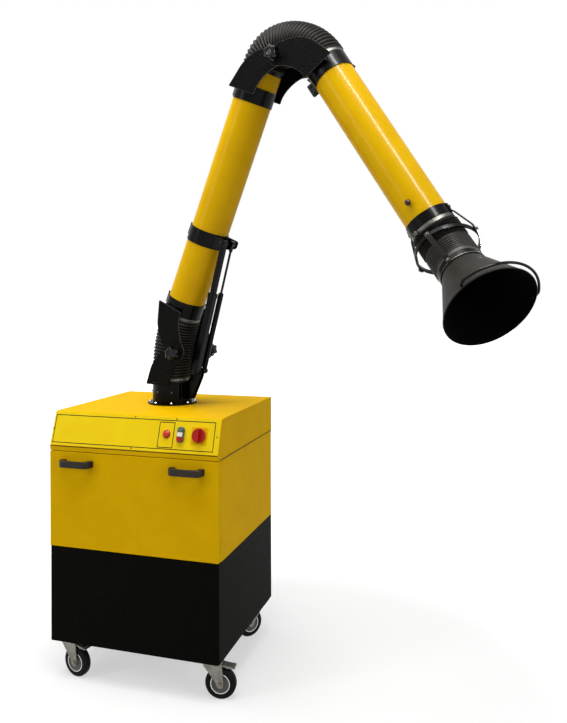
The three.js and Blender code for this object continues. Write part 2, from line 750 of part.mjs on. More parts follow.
// Cheek plate: pivot disc at the origin, foot on a tube whose axis lies one offset behind it
function cheekShape(rise, way) {
  const left = -pivotOffset - cheekHalfWidth;
  const right = -pivotOffset + cheekHalfWidth;
  return outline([
    [left, way * rise, cheekCorner], [left + cheekWaist, way * rise * 0.16, cheekSweep],
    [-pivotDisc * 0.6, -way * pivotDisc, pivotDisc * 0.6], [pivotDisc, -way * pivotDisc, pivotDisc],
    [pivotDisc, way * pivotDisc * 0.7, pivotDisc / 2], [right + cheekFlare, way * rise * 0.45, cheekSweep],
    [right, way * rise * 0.86, cheekCorner * 3], [right, way * rise, cheekCorner],
  ]);
}

// Two cheek plates. The inner pair carries the pivot studs and the outer pair turns on them.
function cheekPair(rise, way, layer) {
  const inner = cheekSpacing + layer * (cheekSheet + tubeGap);
  const stackTop = cheekSpacing + 2 * cheekSheet + tubeGap;
  return [-1, 1].map((side) => {
    const span = (from, to) => [side * from, side * to].sort((a, b) => a - b);
    const plate = extrudeXZ(cheekShape(rise, way), ...span(inner, inner + cheekSheet), 2);
    if (layer === 0) return join(plate, alongY(disc(studRadius, ...span(inner + 1, stackTop))));
    return cut(plate, alongY(disc(around(studRadius + studGap), ...span(inner - 1, inner + cheekSheet + 1))));
  });
}

// Split band round a tube on the Z axis, closed by two ears on the side that way points to
function splitBand(from, to, way) {
  const lengthwise = (near, far) => [way * near, way * far].sort((a, b) => a - b);
  const ears = [-1, 1].map((side) => {
    const span = [side * clampSlit / 2, side * (clampSlit / 2 + earSheet)].sort((a, b) => a - b);
    return block(lengthwise(tubeRadius, collarRadius + earReach), span, [from + earMargin, to - earMargin]);
  });
  const slit = block(lengthwise(0, collarRadius + earReach + 1), [-clampSlit / 2, clampSlit / 2], [from - 1, to + 1]);
  return cut(join(disc(collarRadius, from, to, tubeSides), ...ears), slit);
}

// Collar on a tube with pads that carry a pair of cheek plates
function collarYoke(collarFrom, collarTo, padFrom, padTo, cheeks, layer, earWay) {
  const reach = cheekSpacing + layer * (cheekSheet + tubeGap) + 1;
  const padX = [-pivotOffset - padHalfWidth, -pivotOffset + padHalfWidth];
  const bar = block(padX, [-reach, reach], [padFrom, padTo]);
  const low = Math.min(collarFrom, padFrom) - 1;
  const high = Math.max(collarTo, padTo) + 1;
  const tube = disc(collarBore, low, high, tubeSides).translate(-pivotOffset, 0, 0);
  const band = splitBand(collarFrom, collarTo, earWay).translate(-pivotOffset, 0, 0);
  return cut(join(band, bar, ...cheeks), tube);
}

function knobShape(side) {
  const stackTop = cheekSpacing + 2 * cheekSheet + tubeGap + seatGap;
  const lobed = new THREE.Shape(Array.from({ length: knobLobes * 4 }, (_, i) => {
    const angle = TURN * i / (knobLobes * 4);
    const radius = knobRadius + knobLobe * Math.cos(knobLobes * angle);
    return new THREE.Vector2(radius * Math.cos(angle), radius * Math.sin(angle));
  }));
  const head = stackTop + washerHeight;
  const knob = join(disc(washerRadius, stackTop, head + 1), extrude(lobed, head, head + knobHeight));
  return knob.rotateX(side * Math.PI / 2);
}

function addKnobs(parent, name) {
  for (const [tag, side] of [['near', 1], ['far', -1]]) {
    const turn = frameAt(parent, 0, 0, 0, `${name}_knob_turn_${tag}`);
    piece(turn, `${name}_knob_${tag}`, blackPlastic, knobShape(side));
  }
}

function addTurntable() {
  const foot = frameAt(machine, armX, armY, coverTop);
  const spigot = (drumRadius - drumWall) * Math.cos(Math.PI / tubeSides) - seatGap;
  const flangeTop = seatGap + flangeSheet;
  const duct = spigot - spigotWall;
  const flange = turned([
    [duct, seatGap], [flangeRadius, seatGap], [flangeRadius, flangeTop], [spigot, flangeTop],
    [spigot, spigotHeight], [duct, spigotHeight],
  ]);
  piece(foot, 'base_flange', blackCoat, flange);

  const table = frameAt(foot, 0, 0, 0, 'arm_swivel');
  table.rotation.z = deg(armSwing);
  const drumFoot = flangeTop + seatGap;
  const drumEnd = drumFoot + drumHeight;
  const neckTop = drumEnd + neckHeight;
  const drum = turned([
    [drumRadius - drumWall, drumFoot], [drumRadius, drumFoot], [drumRadius, drumEnd],
    [tubeRadius, drumEnd], [tubeRadius, neckTop], [tubeRadius - tubeWall, neckTop],
    [tubeRadius - tubeWall, drumEnd - drumTop], [drumRadius - drumWall, drumEnd - drumTop],
  ]);
  piece(table, 'swivel_drum', blackCoat, drum);

  // Yoke on the drum: ring, two cheeks and the bracket of the balance struts
  const ringFoot = drumEnd + seatGap;
  const ringTop = ringFoot + yokeRing;
  const cheeks = cheekPair(shoulderHeight - cheekFoot, -1, 0)
    .map((plate) => plate.translate(pivotOffset, 0, shoulderHeight));
  const footBar = block([-padHalfWidth, padHalfWidth], [-cheekSpacing - 1, cheekSpacing + 1], [ringFoot, ringTop]);
  const web = drumRadius + seatGap;
  const bracket = outline([
    [web, bracketFoot], [web + bracketHeel, bracketFoot, bracketToe],
    [strutFootReach + lugRadius, strutFootHeight - lugRadius, lugRadius],
    [strutFootReach + lugRadius, strutFootHeight + lugRadius, lugRadius],
    [strutFootReach - lugRadius, strutFootHeight + lugRadius, lugRadius],
    [web + bracketToe, ringTop, bracketToe], [web, ringTop],
  ]);
  const lugs = [-1, 1].map((side) => {
    const span = [side * (bracketHalf - lugSheet), side * bracketHalf].sort((a, b) => a - b);
    return extrudeXZ(bracket, ...span, 1);
  });
  const axleHalf = strutSide + eyeWidth / 2 + pinOverhang;
  const strutAxle = alongY(disc(strutPin, -axleHalf, axleHalf)).translate(strutFootReach, 0, strutFootHeight);
  const ring = pipe(collarBore, yokeRingRadius, ringFoot, ringTop);
  const webPlate = block([web, web + lugSheet], [-lugSpacing, lugSpacing], [bracketFoot, ringTop]);
  const neckSpace = disc(collarBore, ringFoot - 1, ringTop + 1, tubeSides);
  const yoke = cut(join(ring, footBar, ...cheeks, ...lugs, webPlate, strutAxle), neckSpace);
  piece(table, 'base_yoke', blackCoat, yoke);
  return { table, hoseFoot: ringTop + seatGap, neckTop };
}

function addStruts(table, lean) {
  const top = new THREE.Vector2(strutTopOffset, strutTopReach).rotateAround(new THREE.Vector2(), -lean);
  const reachX = pivotOffset + top.x - strutFootReach;
  const reachZ = shoulderHeight + top.y - strutFootHeight;
  const length = Math.hypot(reachX, reachZ);
  const hinge = frameAt(table, strutFootReach, 0, strutFootHeight, 'strut_hinge');
  hinge.rotation.y = Math.atan2(reachX, reachZ);
  const slide = frameAt(hinge, 0, 0, 0, 'strut_slide');
  const eye = (radius, z) => alongY(disc(radius, -eyeWidth / 2, eyeWidth / 2)).translate(0, 0, z);
  const footHole = alongY(disc(around(strutPin + seatGap), -eyeWidth, eyeWidth));
  const bodyFoot = eyeRadius * 0.6;
  const rodFoot = strutBody - strutInside;
  const boreFoot = rodFoot - strutInside * 0.7;

  const cylinder = join(eye(eyeRadius, 0), disc(gasRadius, bodyFoot, strutBody));
  const gasBore = disc(gasRodRadius + guideGap, boreFoot, strutBody + 1);
  piece(hinge, 'gas_spring_cylinder', blackCoat, cut(cylinder, footHole, gasBore).translate(0, strutSide, 0));
  const rod = join(disc(gasRodRadius, rodFoot, length), eye(eyeRadius - 2, length));
  piece(slide, 'gas_spring_rod', zincSteel, rod.translate(0, strutSide, 0));

  const guide = rectangle(guideSize, guideSize, 4);
  const inside = rectangle(guideBar + 2 * guideGap, guideBar + 2 * guideGap);
  const tube = cut(join(eye(eyeRadius, 0), extrude(guide, bodyFoot, strutBody)),
    footHole, extrude(inside, boreFoot, strutBody + 1));
  piece(hinge, 'balance_guide', blackCoat, tube.translate(0, -strutSide, 0));
  const barTop = length - eyeRadius * 0.6;
  const bar = join(extrude(rectangle(guideBar, guideBar, 2), rodFoot, barTop), eye(eyeRadius - 1, length));
  piece(slide, 'balance_bar', blackCoat, bar.translate(0, -strutSide, 0));
}

function addLowerArm(table, hoseFoot, neckTop) {
  const lean = deg(lowerLean);
  const turn = deg(180 - upperLean - lowerLean);
  const lower = frameAt(table, pivotOffset, 0, shoulderHeight, 'shoulder');
  lower.rotation.y = lean;
  const tubeTop = lowerLink - elbowStub;
  const onAxis = (geometry) => geometry.translate(-pivotOffset, 0, 0);
  piece(lower, 'lower_tube', yellowPaint, onAxis(pipe(tubeRadius - tubeWall, tubeRadius, tubeEndReach, tubeTop)));
  const collarEnd = collarReach + collarWidth;
  piece(lower, 'shoulder_yoke', blackCoat,
    collarYoke(collarReach, collarEnd, collarReach, cheekRise, cheekPair(cheekRise, 1, 1), 1, -1));
  const elbowCheeks = cheekPair(cheekRise, -1, 0).map((plate) => plate.translate(0, 0, lowerLink));
  piece(lower, 'elbow_lower_yoke', blackCoat, collarYoke(lowerLink - collarEnd, lowerLink - collarReach,
    lowerLink - cheekRise, lowerLink - collarReach, elbowCheeks, 0, -1));

  // Clamp with split ears behind the tube and strut lugs in front of it
  const clampEnd = clampReach + clampWidth;
  const tipX = pivotOffset + strutTopOffset + lugRadius;
  const lug = outline([
    [tubeRadius * 0.7, clampReach + earMargin], [tubeRadius, clampReach + earMargin, lugRadius],
    [tipX, strutTopReach - lugRadius, lugRadius * 0.6], [tipX, strutTopReach + lugRadius, lugRadius * 0.6],
    [tubeRadius * 0.7, strutTopReach + lugRadius],
  ]);
  const lugs = [-1, 1].map((side) => {
    const span = [side * lugSpacing, side * (lugSpacing + lugSheet)].sort((a, b) => a - b);
    return extrudeXZ(lug, ...span);
  });
  const band = splitBand(clampReach, clampEnd, -1);
  const tubeSpace = disc(collarBore, clampReach - 1, clampEnd + 1, tubeSides);
  piece(lower, 'strut_clamp', blackCoat, onAxis(cut(join(band, ...lugs), tubeSpace)));
  addKnobs(lower, 'shoulder');
  addStruts(table, lean);

  const across = new THREE.Vector3(0, 1, 0);
  const way = (angle) => new THREE.Vector3(Math.sin(angle), 0, Math.cos(angle));
  const lowerAxis = (reach) => new THREE.Vector3(pivotOffset, 0, shoulderHeight)
    .add(new THREE.Vector3(-pivotOffset, 0, reach).applyAxisAngle(across, lean));
  const neckGrip = neckTop - hoseFoot;
  const shoulderPath = hosePath(new THREE.Vector3(0, 0, hoseFoot), way(0), neckGrip,
    lowerAxis(tubeEndReach + hoseGrip), way(lean), hoseGrip, shoulderHeight * 0.36);
  piece(table, 'shoulder_hose', blackRubber, ribbedHose(shoulderPath, across, shoulderRibs, neckGrip, hoseGrip));

  const upperAxis = (reach) => new THREE.Vector3(0, 0, lowerLink)
    .add(new THREE.Vector3(-pivotOffset, 0, reach).applyAxisAngle(across, turn));
  const elbowPath = hosePath(new THREE.Vector3(-pivotOffset, 0, tubeTop - hoseGrip), way(0), hoseGrip,
    upperAxis(tubeEndReach + hoseGrip), way(turn), hoseGrip, pivotOffset);
  piece(lower, 'elbow_hose', blackRubber, ribbedHose(elbowPath, across, elbowRibs, hoseGrip, hoseGrip));

  const upper = frameAt(lower, 0, 0, lowerLink, 'elbow');
  upper.rotation.y = turn;
  return upper;
}

function addUpperArm(upper) {
  const onAxis = (geometry) => geometry.translate(-pivotOffset, 0, 0);
  const tubeEnd = gimbalReach - upperTubeEnd;
  const damperReach = tubeEnd - damperSetBack;
  const shaftHole = alongY(disc(around(damperShaft + studGap), -tubeRadius - 1, tubeRadius + 1))
    .translate(0, 0, damperReach);
  const tube = cut(pipe(tubeRadius - tubeWall, tubeRadius, tubeEndReach, tubeEnd), shaftHole);
  piece(upper, 'upper_tube', yellowPaint, onAxis(tube));
  piece(upper, 'elbow_upper_yoke', blackCoat, collarYoke(collarReach, collarReach + collarWidth,
    collarReach, cheekRise, cheekPair(cheekRise, 1, 1), 1, 1));
  addKnobs(upper, 'elbow');

  // Butterfly damper, shown open, with its knob on the near side
  const damper = frameAt(upper, -pivotOffset, 0, damperReach, 'damper_turn');
  const plateRadius = tubeRadius - tubeWall - damperClearance;
  const knobFoot = tubeRadius + seatGap;
  const knob = turned([[0, knobFoot], [damperKnobRadius, knobFoot],
    [damperKnobRadius, knobFoot + damperKnobHeight - 3],
    [damperKnobRadius - 3, knobFoot + damperKnobHeight], [0, knobFoot + damperKnobHeight]], pinSides);
  const flap = join(
    alongX(disc(plateRadius, -damperSheet / 2, damperSheet / 2, tubeSides)),
    alongY(disc(damperShaft, -knobFoot - 1, tubeRadius + 2)),
    knob.rotateX(Math.PI / 2));
  piece(damper, 'damper', zincSteel, flap);

  // Collar at the tube's end with the two stays of the ring joint
  const stayX = ringRadius + ringSheet + 2 * seatGap;
  const collarFoot = -stayCollarReach;
  const collarTop = collarFoot + stayCollarWidth;
  const stay = (side) => outline([
    [side * (tubeRadius + 1), collarFoot + 2], [side * (collarRadius + staySheet), collarFoot + 2],
    [side * (collarRadius + staySheet), collarTop - 6, 2], [side * (hoseCrest + 2 + staySheet), collarTop, 4],
    [side * (stayX + staySheet), -stayTip - 10, 4], [side * (stayX + staySheet), stayTip, 2],
    [side * stayX, stayTip, 1], [side * stayX, -stayTip - 8, 4], [side * (hoseCrest + 2), collarTop + 2],
    [side * (tubeRadius + 1), collarTop - 3],
  ]);
  const stays = [-1, 1].map((side) => extrudeXZ(stay(side), -stayWidth / 2, stayWidth / 2, 1));
  const holeReach = stayX + staySheet + 1;
  const trunnionHole = alongX(disc(around(trunnionRadius + studGap), -holeReach, holeReach));
  const bore = disc(collarBore, collarFoot - 1, collarTop + 1, tubeSides);
  const band = disc(collarRadius, collarFoot, collarTop, tubeSides);
  const stayCollar = cut(join(band, ...stays), trunnionHole, bore);
  piece(upper, 'stay_collar', blackCoat, onAxis(stayCollar.translate(0, 0, gimbalReach)));
}

// Slanted bar on the +Y side of the hood, from the ring joint down to the neck band
function hoodBar(side) {
  const pinY = ringRadius + ringSheet + 2 * seatGap;
  const bandY = collarRadius + staySheet;
  const bandEnd = hoodBandReach + hoodBandWidth;
  const bar = outline([
    [side * pinY, -stayTip, 1], [side * (pinY + staySheet), -stayTip, 2],
    [side * (pinY + staySheet), stayTip + 10, 4], [side * (hoseCrest + 2 + staySheet), hoodBandReach, 4],
    [side * bandY, hoodBandReach + 6, 2], [side * bandY, bandEnd],
    [side * (tubeRadius + 1), bandEnd], [side * (tubeRadius + 1), hoodBandReach + 3],
    [side * (hoseCrest + 2), hoodBandReach - 2], [side * pinY, stayTip + 8, 4],
  ]);
  return extrudeYZ(bar, -stayWidth / 2, stayWidth / 2, 1);
}

function addHood(upper) {
  const joint = frameAt(upper, -pivotOffset, 0, gimbalReach);
  const ring = frameAt(joint, 0, 0, 0, 'ring_tilt');
  ring.rotation.x = deg(hoodTurn);
  const outerRing = ringRadius + ringSheet;
  const pinReach = outerRing + staySheet + 2 * seatGap + 2;
  const band = pipe(ringRadius, outerRing, -ringHeight / 2, ringHeight / 2);
  const trunnions = cut(
    join(alongX(disc(trunnionRadius, -pinReach, pinReach)), alongY(disc(trunnionRadius, -pinReach, pinReach))),
    disc(ringRadius + 1, -ringHeight, ringHeight, tubeSides));
  piece(ring, 'gimbal_ring', blackCoat, join(band, trunnions));

  const hood = frameAt(ring, 0, 0, 0, 'hood_nod');
  hood.rotation.y = deg(hoodNod);
  const bandEnd = hoodBandReach + hoodBandWidth;
  const pinHole = alongY(disc(around(trunnionRadius + studGap), -pinReach - staySheet, pinReach + staySheet));
  const neckSpace = disc(collarBore, hoodBandReach - 8, bandEnd + 1, tubeSides);
  const clampBand = disc(collarRadius, hoodBandReach, bandEnd, tubeSides);
  piece(hood, 'hood_band', blackCoat, cut(join(clampBand, hoodBar(1), hoodBar(-1)), pinHole, neckSpace));

  const mouthInner = hoodMouthRadius - hoodWall;
  const cone = turned([
    [tubeRadius - hoodWall, hoodNeckReach], [tubeRadius, hoodNeckReach], [tubeRadius, hoodNeckEnd],
    [hoodMouthRadius, hoodMouthReach - 2 * rimBead], [hoodMouthRadius + rimBead, hoodMouthReach - rimBead],
    [hoodMouthRadius, hoodMouthReach], [mouthInner, hoodMouthReach - rimBead],
    [tubeRadius - hoodWall, hoodNeckEnd + 1],
  ], tubeSides);
  piece(hood, 'hood_cone', hoodGrey, cone);

  // Grip: a round bar bowed over the upper side of the cone, with both ends on its surface
  const gripZ = hoodMouthReach - gripSetBack;
  const gripPoint = (radius, angle) =>
    new THREE.Vector3(radius * Math.cos(deg(angle)), radius * Math.sin(deg(angle)), gripZ);
  const bow = Array.from({ length: gripSteps + 1 }, (_, i) =>
    gripPoint(gripRadius, THREE.MathUtils.lerp(gripFrom, gripTo, i / gripSteps)));
  const inside = hoodMouthRadius - 4 * gripBar;
  const route = new THREE.CatmullRomCurve3([gripPoint(inside, gripFrom), ...bow, gripPoint(inside, gripTo)]);
  const barShape = new THREE.Shape(Array.from({ length: 6 }, (_, i) =>
    new THREE.Vector2(gripBar, 0).rotateAround(new THREE.Vector2(), TURN * i / 6)));
  const grip = new THREE.ExtrudeGeometry(barShape, { steps: 2 * gripSteps, extrudePath: route });
  const coneSpace = turned([
    [0, hoodNeckEnd], [tubeRadius + seatGap, hoodNeckEnd],
    [hoodMouthRadius + seatGap, hoodMouthReach - 2 * rimBead], [0, hoodMouthReach - 2 * rimBead],
  ]);
  piece(hood, 'grip_ring', blackCoat, cut(grip, coneSpace));

  // Hose through the ring in two halves, on a curve from the tube's end to the hood's neck
  const tubeWay = new THREE.Vector3(0, 0, 1);
  const hoodWay = new THREE.Vector3(0, 0, 1)
    .applyAxisAngle(new THREE.Vector3(0, 1, 0), deg(hoodNod))
    .applyAxisAngle(new THREE.Vector3(1, 0, 0), deg(hoodTurn));
  const across = tubeWay.clone().cross(hoodWay).normalize();
  const startReach = stayCollarReach - stayCollarWidth - seatGap;
  const tubeGrip = startReach - upperTubeEnd;
  const neckGrip = hoodBandReach - seatGap - hoodNeckReach;
  const start = tubeWay.clone().multiplyScalar(-startReach);
  const end = hoodWay.clone().multiplyScalar(hoodBandReach - seatGap);
  const whole = hosePath(start, tubeWay, tubeGrip, end, hoodWay, neckGrip, hoodNeckReach / 2);
  const stretch = (from, to) => {
    const curve = new THREE.Curve();
    curve.getPoint = (t) => whole.getPointAt(THREE.MathUtils.lerp(from, to, t));
    return curve;
  };
  const facing = (axis, tangent) => {
    const side = tangent.clone().cross(across);
    return Math.atan2(axis.dot(across), axis.dot(side));
  };
  const hoodSide = new THREE.Vector3(1, 0, 0)
    .applyAxisAngle(new THREE.Vector3(0, 1, 0), deg(hoodNod))
    .applyAxisAngle(new THREE.Vector3(1, 0, 0), deg(hoodTurn));
  const twistIn = facing(new THREE.Vector3(1, 0, 0), tubeWay);
  const twistOut = facing(hoodSide, hoodWay);
  const twistMid = (twistIn + twistOut) / 2;
  const split = seatGap / whole.getLength();
  const first = stretch(0, 0.5 - split);
  const second = stretch(0.5 + split, 1);
  piece(joint, 'hood_hose_upper', blackRubber, ribbedHose(first, across, hoodUpperRibs, tubeGrip, 0,
    [twistIn, twistMid]));
  piece(joint, 'hood_hose_lower', blackRubber, ribbedHose(second, across, hoodLowerRibs, 0, neckGrip,
    [twistMid, twistOut]));
}

addCabinet();
addFan();
addFilters();
addCover();
addDoor();
castors.forEach(addCastor);
const { table, hoseFoot, neckTop } = addTurntable();
const upperArm = addLowerArm(table, hoseFoot, neckTop);
addUpperArm(upperArm);
addHood(upperArm);

// Centre the machine's box over the origin
machine.updateMatrixWorld(true);
const extent = new THREE.Box3().setFromObject(machine, true);
const middle = extent.getCenter(new THREE.Vector3());
machine.position.set(-middle.x, -middle.y, -extent.min.z);
machine.updateMatrixWorld(true);

export default machine;
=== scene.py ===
import json
import math
from bisect import bisect_right

import bmesh
import bpy
from mathutils import Matrix, Quaternion, Vector
from mathutils.geometry import interpolate_bezier


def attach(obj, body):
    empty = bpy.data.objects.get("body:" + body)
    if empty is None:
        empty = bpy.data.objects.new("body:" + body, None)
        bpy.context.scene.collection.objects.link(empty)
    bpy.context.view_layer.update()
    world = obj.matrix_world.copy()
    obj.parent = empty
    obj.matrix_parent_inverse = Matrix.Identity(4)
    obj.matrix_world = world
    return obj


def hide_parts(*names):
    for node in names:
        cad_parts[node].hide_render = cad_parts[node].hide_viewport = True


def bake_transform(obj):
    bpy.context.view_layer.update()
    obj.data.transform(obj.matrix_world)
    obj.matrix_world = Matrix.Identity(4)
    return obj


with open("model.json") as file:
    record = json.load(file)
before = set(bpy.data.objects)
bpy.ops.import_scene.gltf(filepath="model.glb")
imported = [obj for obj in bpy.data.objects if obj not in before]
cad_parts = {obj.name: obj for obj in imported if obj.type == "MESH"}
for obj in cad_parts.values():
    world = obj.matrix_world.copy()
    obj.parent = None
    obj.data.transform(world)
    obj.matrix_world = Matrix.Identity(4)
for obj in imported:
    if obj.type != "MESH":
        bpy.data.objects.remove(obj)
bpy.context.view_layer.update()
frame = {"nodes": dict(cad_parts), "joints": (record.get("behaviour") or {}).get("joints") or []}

# A yellow mobile fume filter with an articulated extraction arm.
# Sizes are millimetres in the local frame of the piece they belong to.
MM = 0.001
TAU = math.tau
GAP = 0.3
SIDES = (-1, 1)

# Cabinet
WIDTH = 736
DEPTH = 660
HALF = WIDTH / 2
FRONT = -DEPTH / 2
BACK = DEPTH / 2
CORNER = 9
SHEET = 2.5
FOOT = 155
BASE_TOP = 539
BAY_TOP = 929
COVER_TOP = 1083.3
LIP = 22
SET_BACK = 44
FLANGE = 20
BAY_FRONT = -301.4
LEDGE = 62
CASSETTE_LEVEL = 62
PREFILTER_LEVEL = 318
GRILLE_X = (94, 276)
GRILLE_Z = (406.7, 527.7)
GRILLE_SHEET = 3
LOUVRES = 6
LOUVRE_PITCH = 15.5
LOUVRE_FROM = 24
LOUVRE_MARGIN = 22
SCREW_MARGIN = 9

# Door
DOOR_HEIGHT = BAY_TOP - BASE_TOP
DOOR_DEPTH = 24
DOOR_RIM = 22
DOOR_SEAM = 2
DOOR_SHEET = 2
HANDLE_HALF = 73
HANDLE_REACH = 40
HANDLE_BAR = 15
HANDLE_HEIGHT = 26
HANDLE_FOOT = 24
HANDLE_SPREAD = 240
HANDLE_DROP = 45

# Console, measured along its slope
CONSOLE_PLATE = 1.6
CONSOLE_HEIGHT = 136
LINE_HALF = 1.6
OUTER_LINE = ((-358, 344), (-58, 53))
LAMP_LINE = ((111, 174), (-52, 45))
RIVETS = ((-361, -2), (356, -2), (0, -63), (0, 61), (180, 60))
LAMP_X = 144
LENS_EDGE = 12.6
LENS_FOOT = 9
LENS_CROWN = 5
LENS_RINGS = 9
PUSH_X = 205
PUSH_SPREAD = 19
PUSH_FLOOR = 6.3
PUSH_HEIGHT = 10
SWITCH_X = 282
SWITCH_MOUNT = 66

# Castors
WHEEL_WIDTH = 32
CASTOR_TRAIL = 40
CASTOR_PLATE = (106, 86)
CASTOR_BOLTS = (42, 32)
RACE_RADIUS = 30
PLATE_TOP = 154.7
PLATE_SHEET = 5
PLATE_FOOT = PLATE_TOP - PLATE_SHEET
RACE_FOOT = PLATE_FOOT - 12
CROWN_TOP = RACE_FOOT - GAP
CROWN_FOOT = CROWN_TOP - 6
CROWN_BACK = -26
FORK_SHEET = 4
LEG = WHEEL_WIDTH / 2 + 3
PEDAL_Z = CROWN_TOP - 4
PEDAL_REACH = 58
CASTOR_TAGS = ("front_left", "front_right", "rear_left", "rear_right")

# Arm
ARM_Y = 45
TUBE = 80
TUBE_WALL = 2
TUBE_GAP = 0.35
PIVOT_OFFSET = 113.5
SHOULDER_HEIGHT = 230
LOWER_LINK = 1272
GIMBAL_REACH = 996
TUBE_END = 100
ELBOW_STUB = 47
LOWER_END = LOWER_LINK - ELBOW_STUB
UPPER_TUBE_END = 76
UPPER_END = GIMBAL_REACH - UPPER_TUBE_END
HOSE_GRIP = 26
HOOD_NOD = -9.5
FLANGE_BORE = 74
FLANGE_RADIUS = 107
FLANGE_TOP = 8.3
FLANGE_BOLTS = 97
DRUM_RADIUS = 86
DRUM_WALL = 3
DRUM_FOOT = FLANGE_TOP + GAP
DRUM_TOP = 94.6
DRUM_SCREW_LEVEL = 54
NECK_TOP = 128.6
YOKE_RING_RADIUS = 98
RING_FOOT = DRUM_TOP + GAP
RING_TOP = RING_FOOT + 5
CHEEK_SPACING = 90
CHEEK_SHEET = 4
CHEEK_HALF = 68
CHEEK_RISE = 166
CHEEK_FOOT = 88
CHEEK_WAIST = 44
CHEEK_FLARE = 14
CHEEK_SWEEP = 60
CHEEK_CORNER = 6
PIVOT_DISC = 38
COLLAR_REACH = 136
COLLAR_END = COLLAR_REACH + 64
COLLAR_BORE = TUBE + TUBE_GAP
COLLAR_RADIUS = COLLAR_BORE + 3
EAR_REACH = 25
EAR_SHEET = 4
EAR_MARGIN = 6
EAR_BOLT = 17
SLIT = 6
PAD_HALF = 34
PAD_INNER = 74
KNOB_RADIUS = 28
KNOB_HEIGHT = 34
KNOB_LOBES = 6
WASHER_RADIUS = 17
WASHER_HEIGHT = 12
CLAMP_REACH = 458
CLAMP_WIDTH = 64
LUG_SPACING = 42
LUG_SHEET = 4
LUG_RADIUS = 16
BRACKET_HALF = 12
BRACKET_FOOT = 24
BRACKET_HEEL = 34
BRACKET_TOE = 12
STRUT_FOOT = (158, 147)
STRUT_TOP_REACH = 502
STRUT_PIN = 6
STRUT_SIDE = 27
STRUT_BODY = 350
STRUT_INSIDE = 150
GAS_RADIUS = 11.5
GAS_ROD = 5
EYE_RADIUS = 13
EYE_WIDTH = 24
GUIDE = 30
GUIDE_BAR = 22
DAMPER_SET_BACK = 117
DAMPER_RADIUS = 74
DAMPER_KNOB = 11

# Hoses and hood
HOSE_ROOT = COLLAR_BORE + 2.2
HOSE_WALL = 2
HOSE_END = COLLAR_REACH - GAP
HOSE_FOOT = RING_TOP + GAP
HOSE_HOLD = 24
HOSE_SIDES = 72
HOSE_STEPS = 40
RIB = 4.6
RIB_SINK = 1.2
RIB_TOP = HOSE_ROOT + RIB
CREST_MARK = "crest"
RING_RADIUS = 110
RING_SHEET = 6
RING_HEIGHT = 16
STAY_X = RING_RADIUS + RING_SHEET + 2 * GAP
STAY_WIDTH = 18
STAY_SHEET = 4
STAY_FOOT = COLLAR_RADIUS + STAY_SHEET
STAY_TIP = 12
STAY_COLLAR_FOOT = -138
STAY_COLLAR_TOP = STAY_COLLAR_FOOT + 38
HOOD_NECK = 84
HOOD_NECK_END = 128
HOOD_BAND = 104
BAND_END = HOOD_BAND + 22
MOUTH_REACH = 313
MOUTH_RADIUS = 157
HOOD_WALL = 2
BEAD = 3
GRIP_RADIUS = 170
GRIP_BAR = 4.5
GRIP_Z = MOUTH_REACH - 13
GRIP_FROM = 135
GRIP_TO = 268
GRIP_STEPS = 60

# Camera that took the reference view, in millimetres from the middle of the cabinet on the floor
CAMERA_PLACE = (1380.4, -2833.7, 1560.6)
CAMERA_YAW = 16.74
CAMERA_PITCH = -0.06
CAMERA_ROLL = -0.15
CAMERA_LENS = 35.46
CAMERA_SHIFT = -0.0919

# Local frames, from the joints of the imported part

JOINTS = {joint["name"]: joint for joint in frame["joints"]}
RIGHT = Vector((1, 0, 0))
UP = Vector((0, 0, 1))


def place_of(joint):
    return Vector(JOINTS[joint]["pos_m"])


def axis_of(joint):
    return Vector(JOINTS[joint]["axis"]).normalized()


def local(origin, x, z):
    """Takes millimetres in a frame with these X and Z ways to metres in the part's frame."""
    x = x.normalized()
    z = z.normalized()
    ways = Matrix((x, z.cross(x), z)).transposed().to_4x4()
    return Matrix.Translation(origin) @ ways @ Matrix.Scale(MM, 4)


def shift(x=0, y=0, z=0):
    return Matrix.Translation((x, y, z))


def along(z):
    """A move along the local Z."""
    return shift(0, 0, z)


def turn(degrees, axis):
    return Matrix.Rotation(math.radians(degrees), 4, axis)


def from_frame(frame_in, frame_of, point):
    """A point of one local frame, in millimetres of another."""
    return frame_in.inverted() @ (frame_of @ Vector(point))


def z_way_from(frame_in, frame_of):
    """The Z way of one local frame, as it lies in another."""
    return (frame_in.inverted().to_3x3() @ (frame_of.to_3x3() @ UP)).normalized()


across_arm = axis_of("shoulder")
arm_foot = place_of("arm_swivel")
arm_way = (place_of("elbow") - place_of("shoulder")).normalized()
tilt_axis = axis_of("ring_tilt")
strut_way = axis_of("strut_slide")

CABINET = shift(arm_foot.x, arm_foot.y - ARM_Y * MM, 0) @ Matrix.Scale(MM, 4)
DOOR = local(place_of("door_hinge"), RIGHT, UP)
CONSOLE = local(place_of("start_press"), RIGHT, -axis_of("start_press")) @ shift(-PUSH_X, -PUSH_SPREAD)
TABLE = local(arm_foot, across_arm.cross(UP), UP)
LOWER = local(place_of("shoulder"), across_arm.cross(arm_way), arm_way)
UPPER = local(place_of("elbow"), tilt_axis, tilt_axis.cross(-axis_of("elbow")))
LOWER_TUBE = LOWER @ shift(-PIVOT_OFFSET)
UPPER_TUBE = UPPER @ shift(-PIVOT_OFFSET)
JOINT = UPPER_TUBE @ along(GIMBAL_REACH)
RING = local(place_of("ring_tilt"), tilt_axis, tilt_axis.cross(axis_of("hood_nod")))
HOOD = RING @ turn(HOOD_NOD, "Y")
STRUT = local(place_of("strut_hinge"), across_arm.cross(strut_way), strut_way)

# Materials

# Where the noise has most of its values, for the colours and for the gloss
COLOUR_SPAN = (0.32, 0.68)
GLOSS_SPAN = (0.3, 0.7)
COAT_ROUGHNESS = 0.18


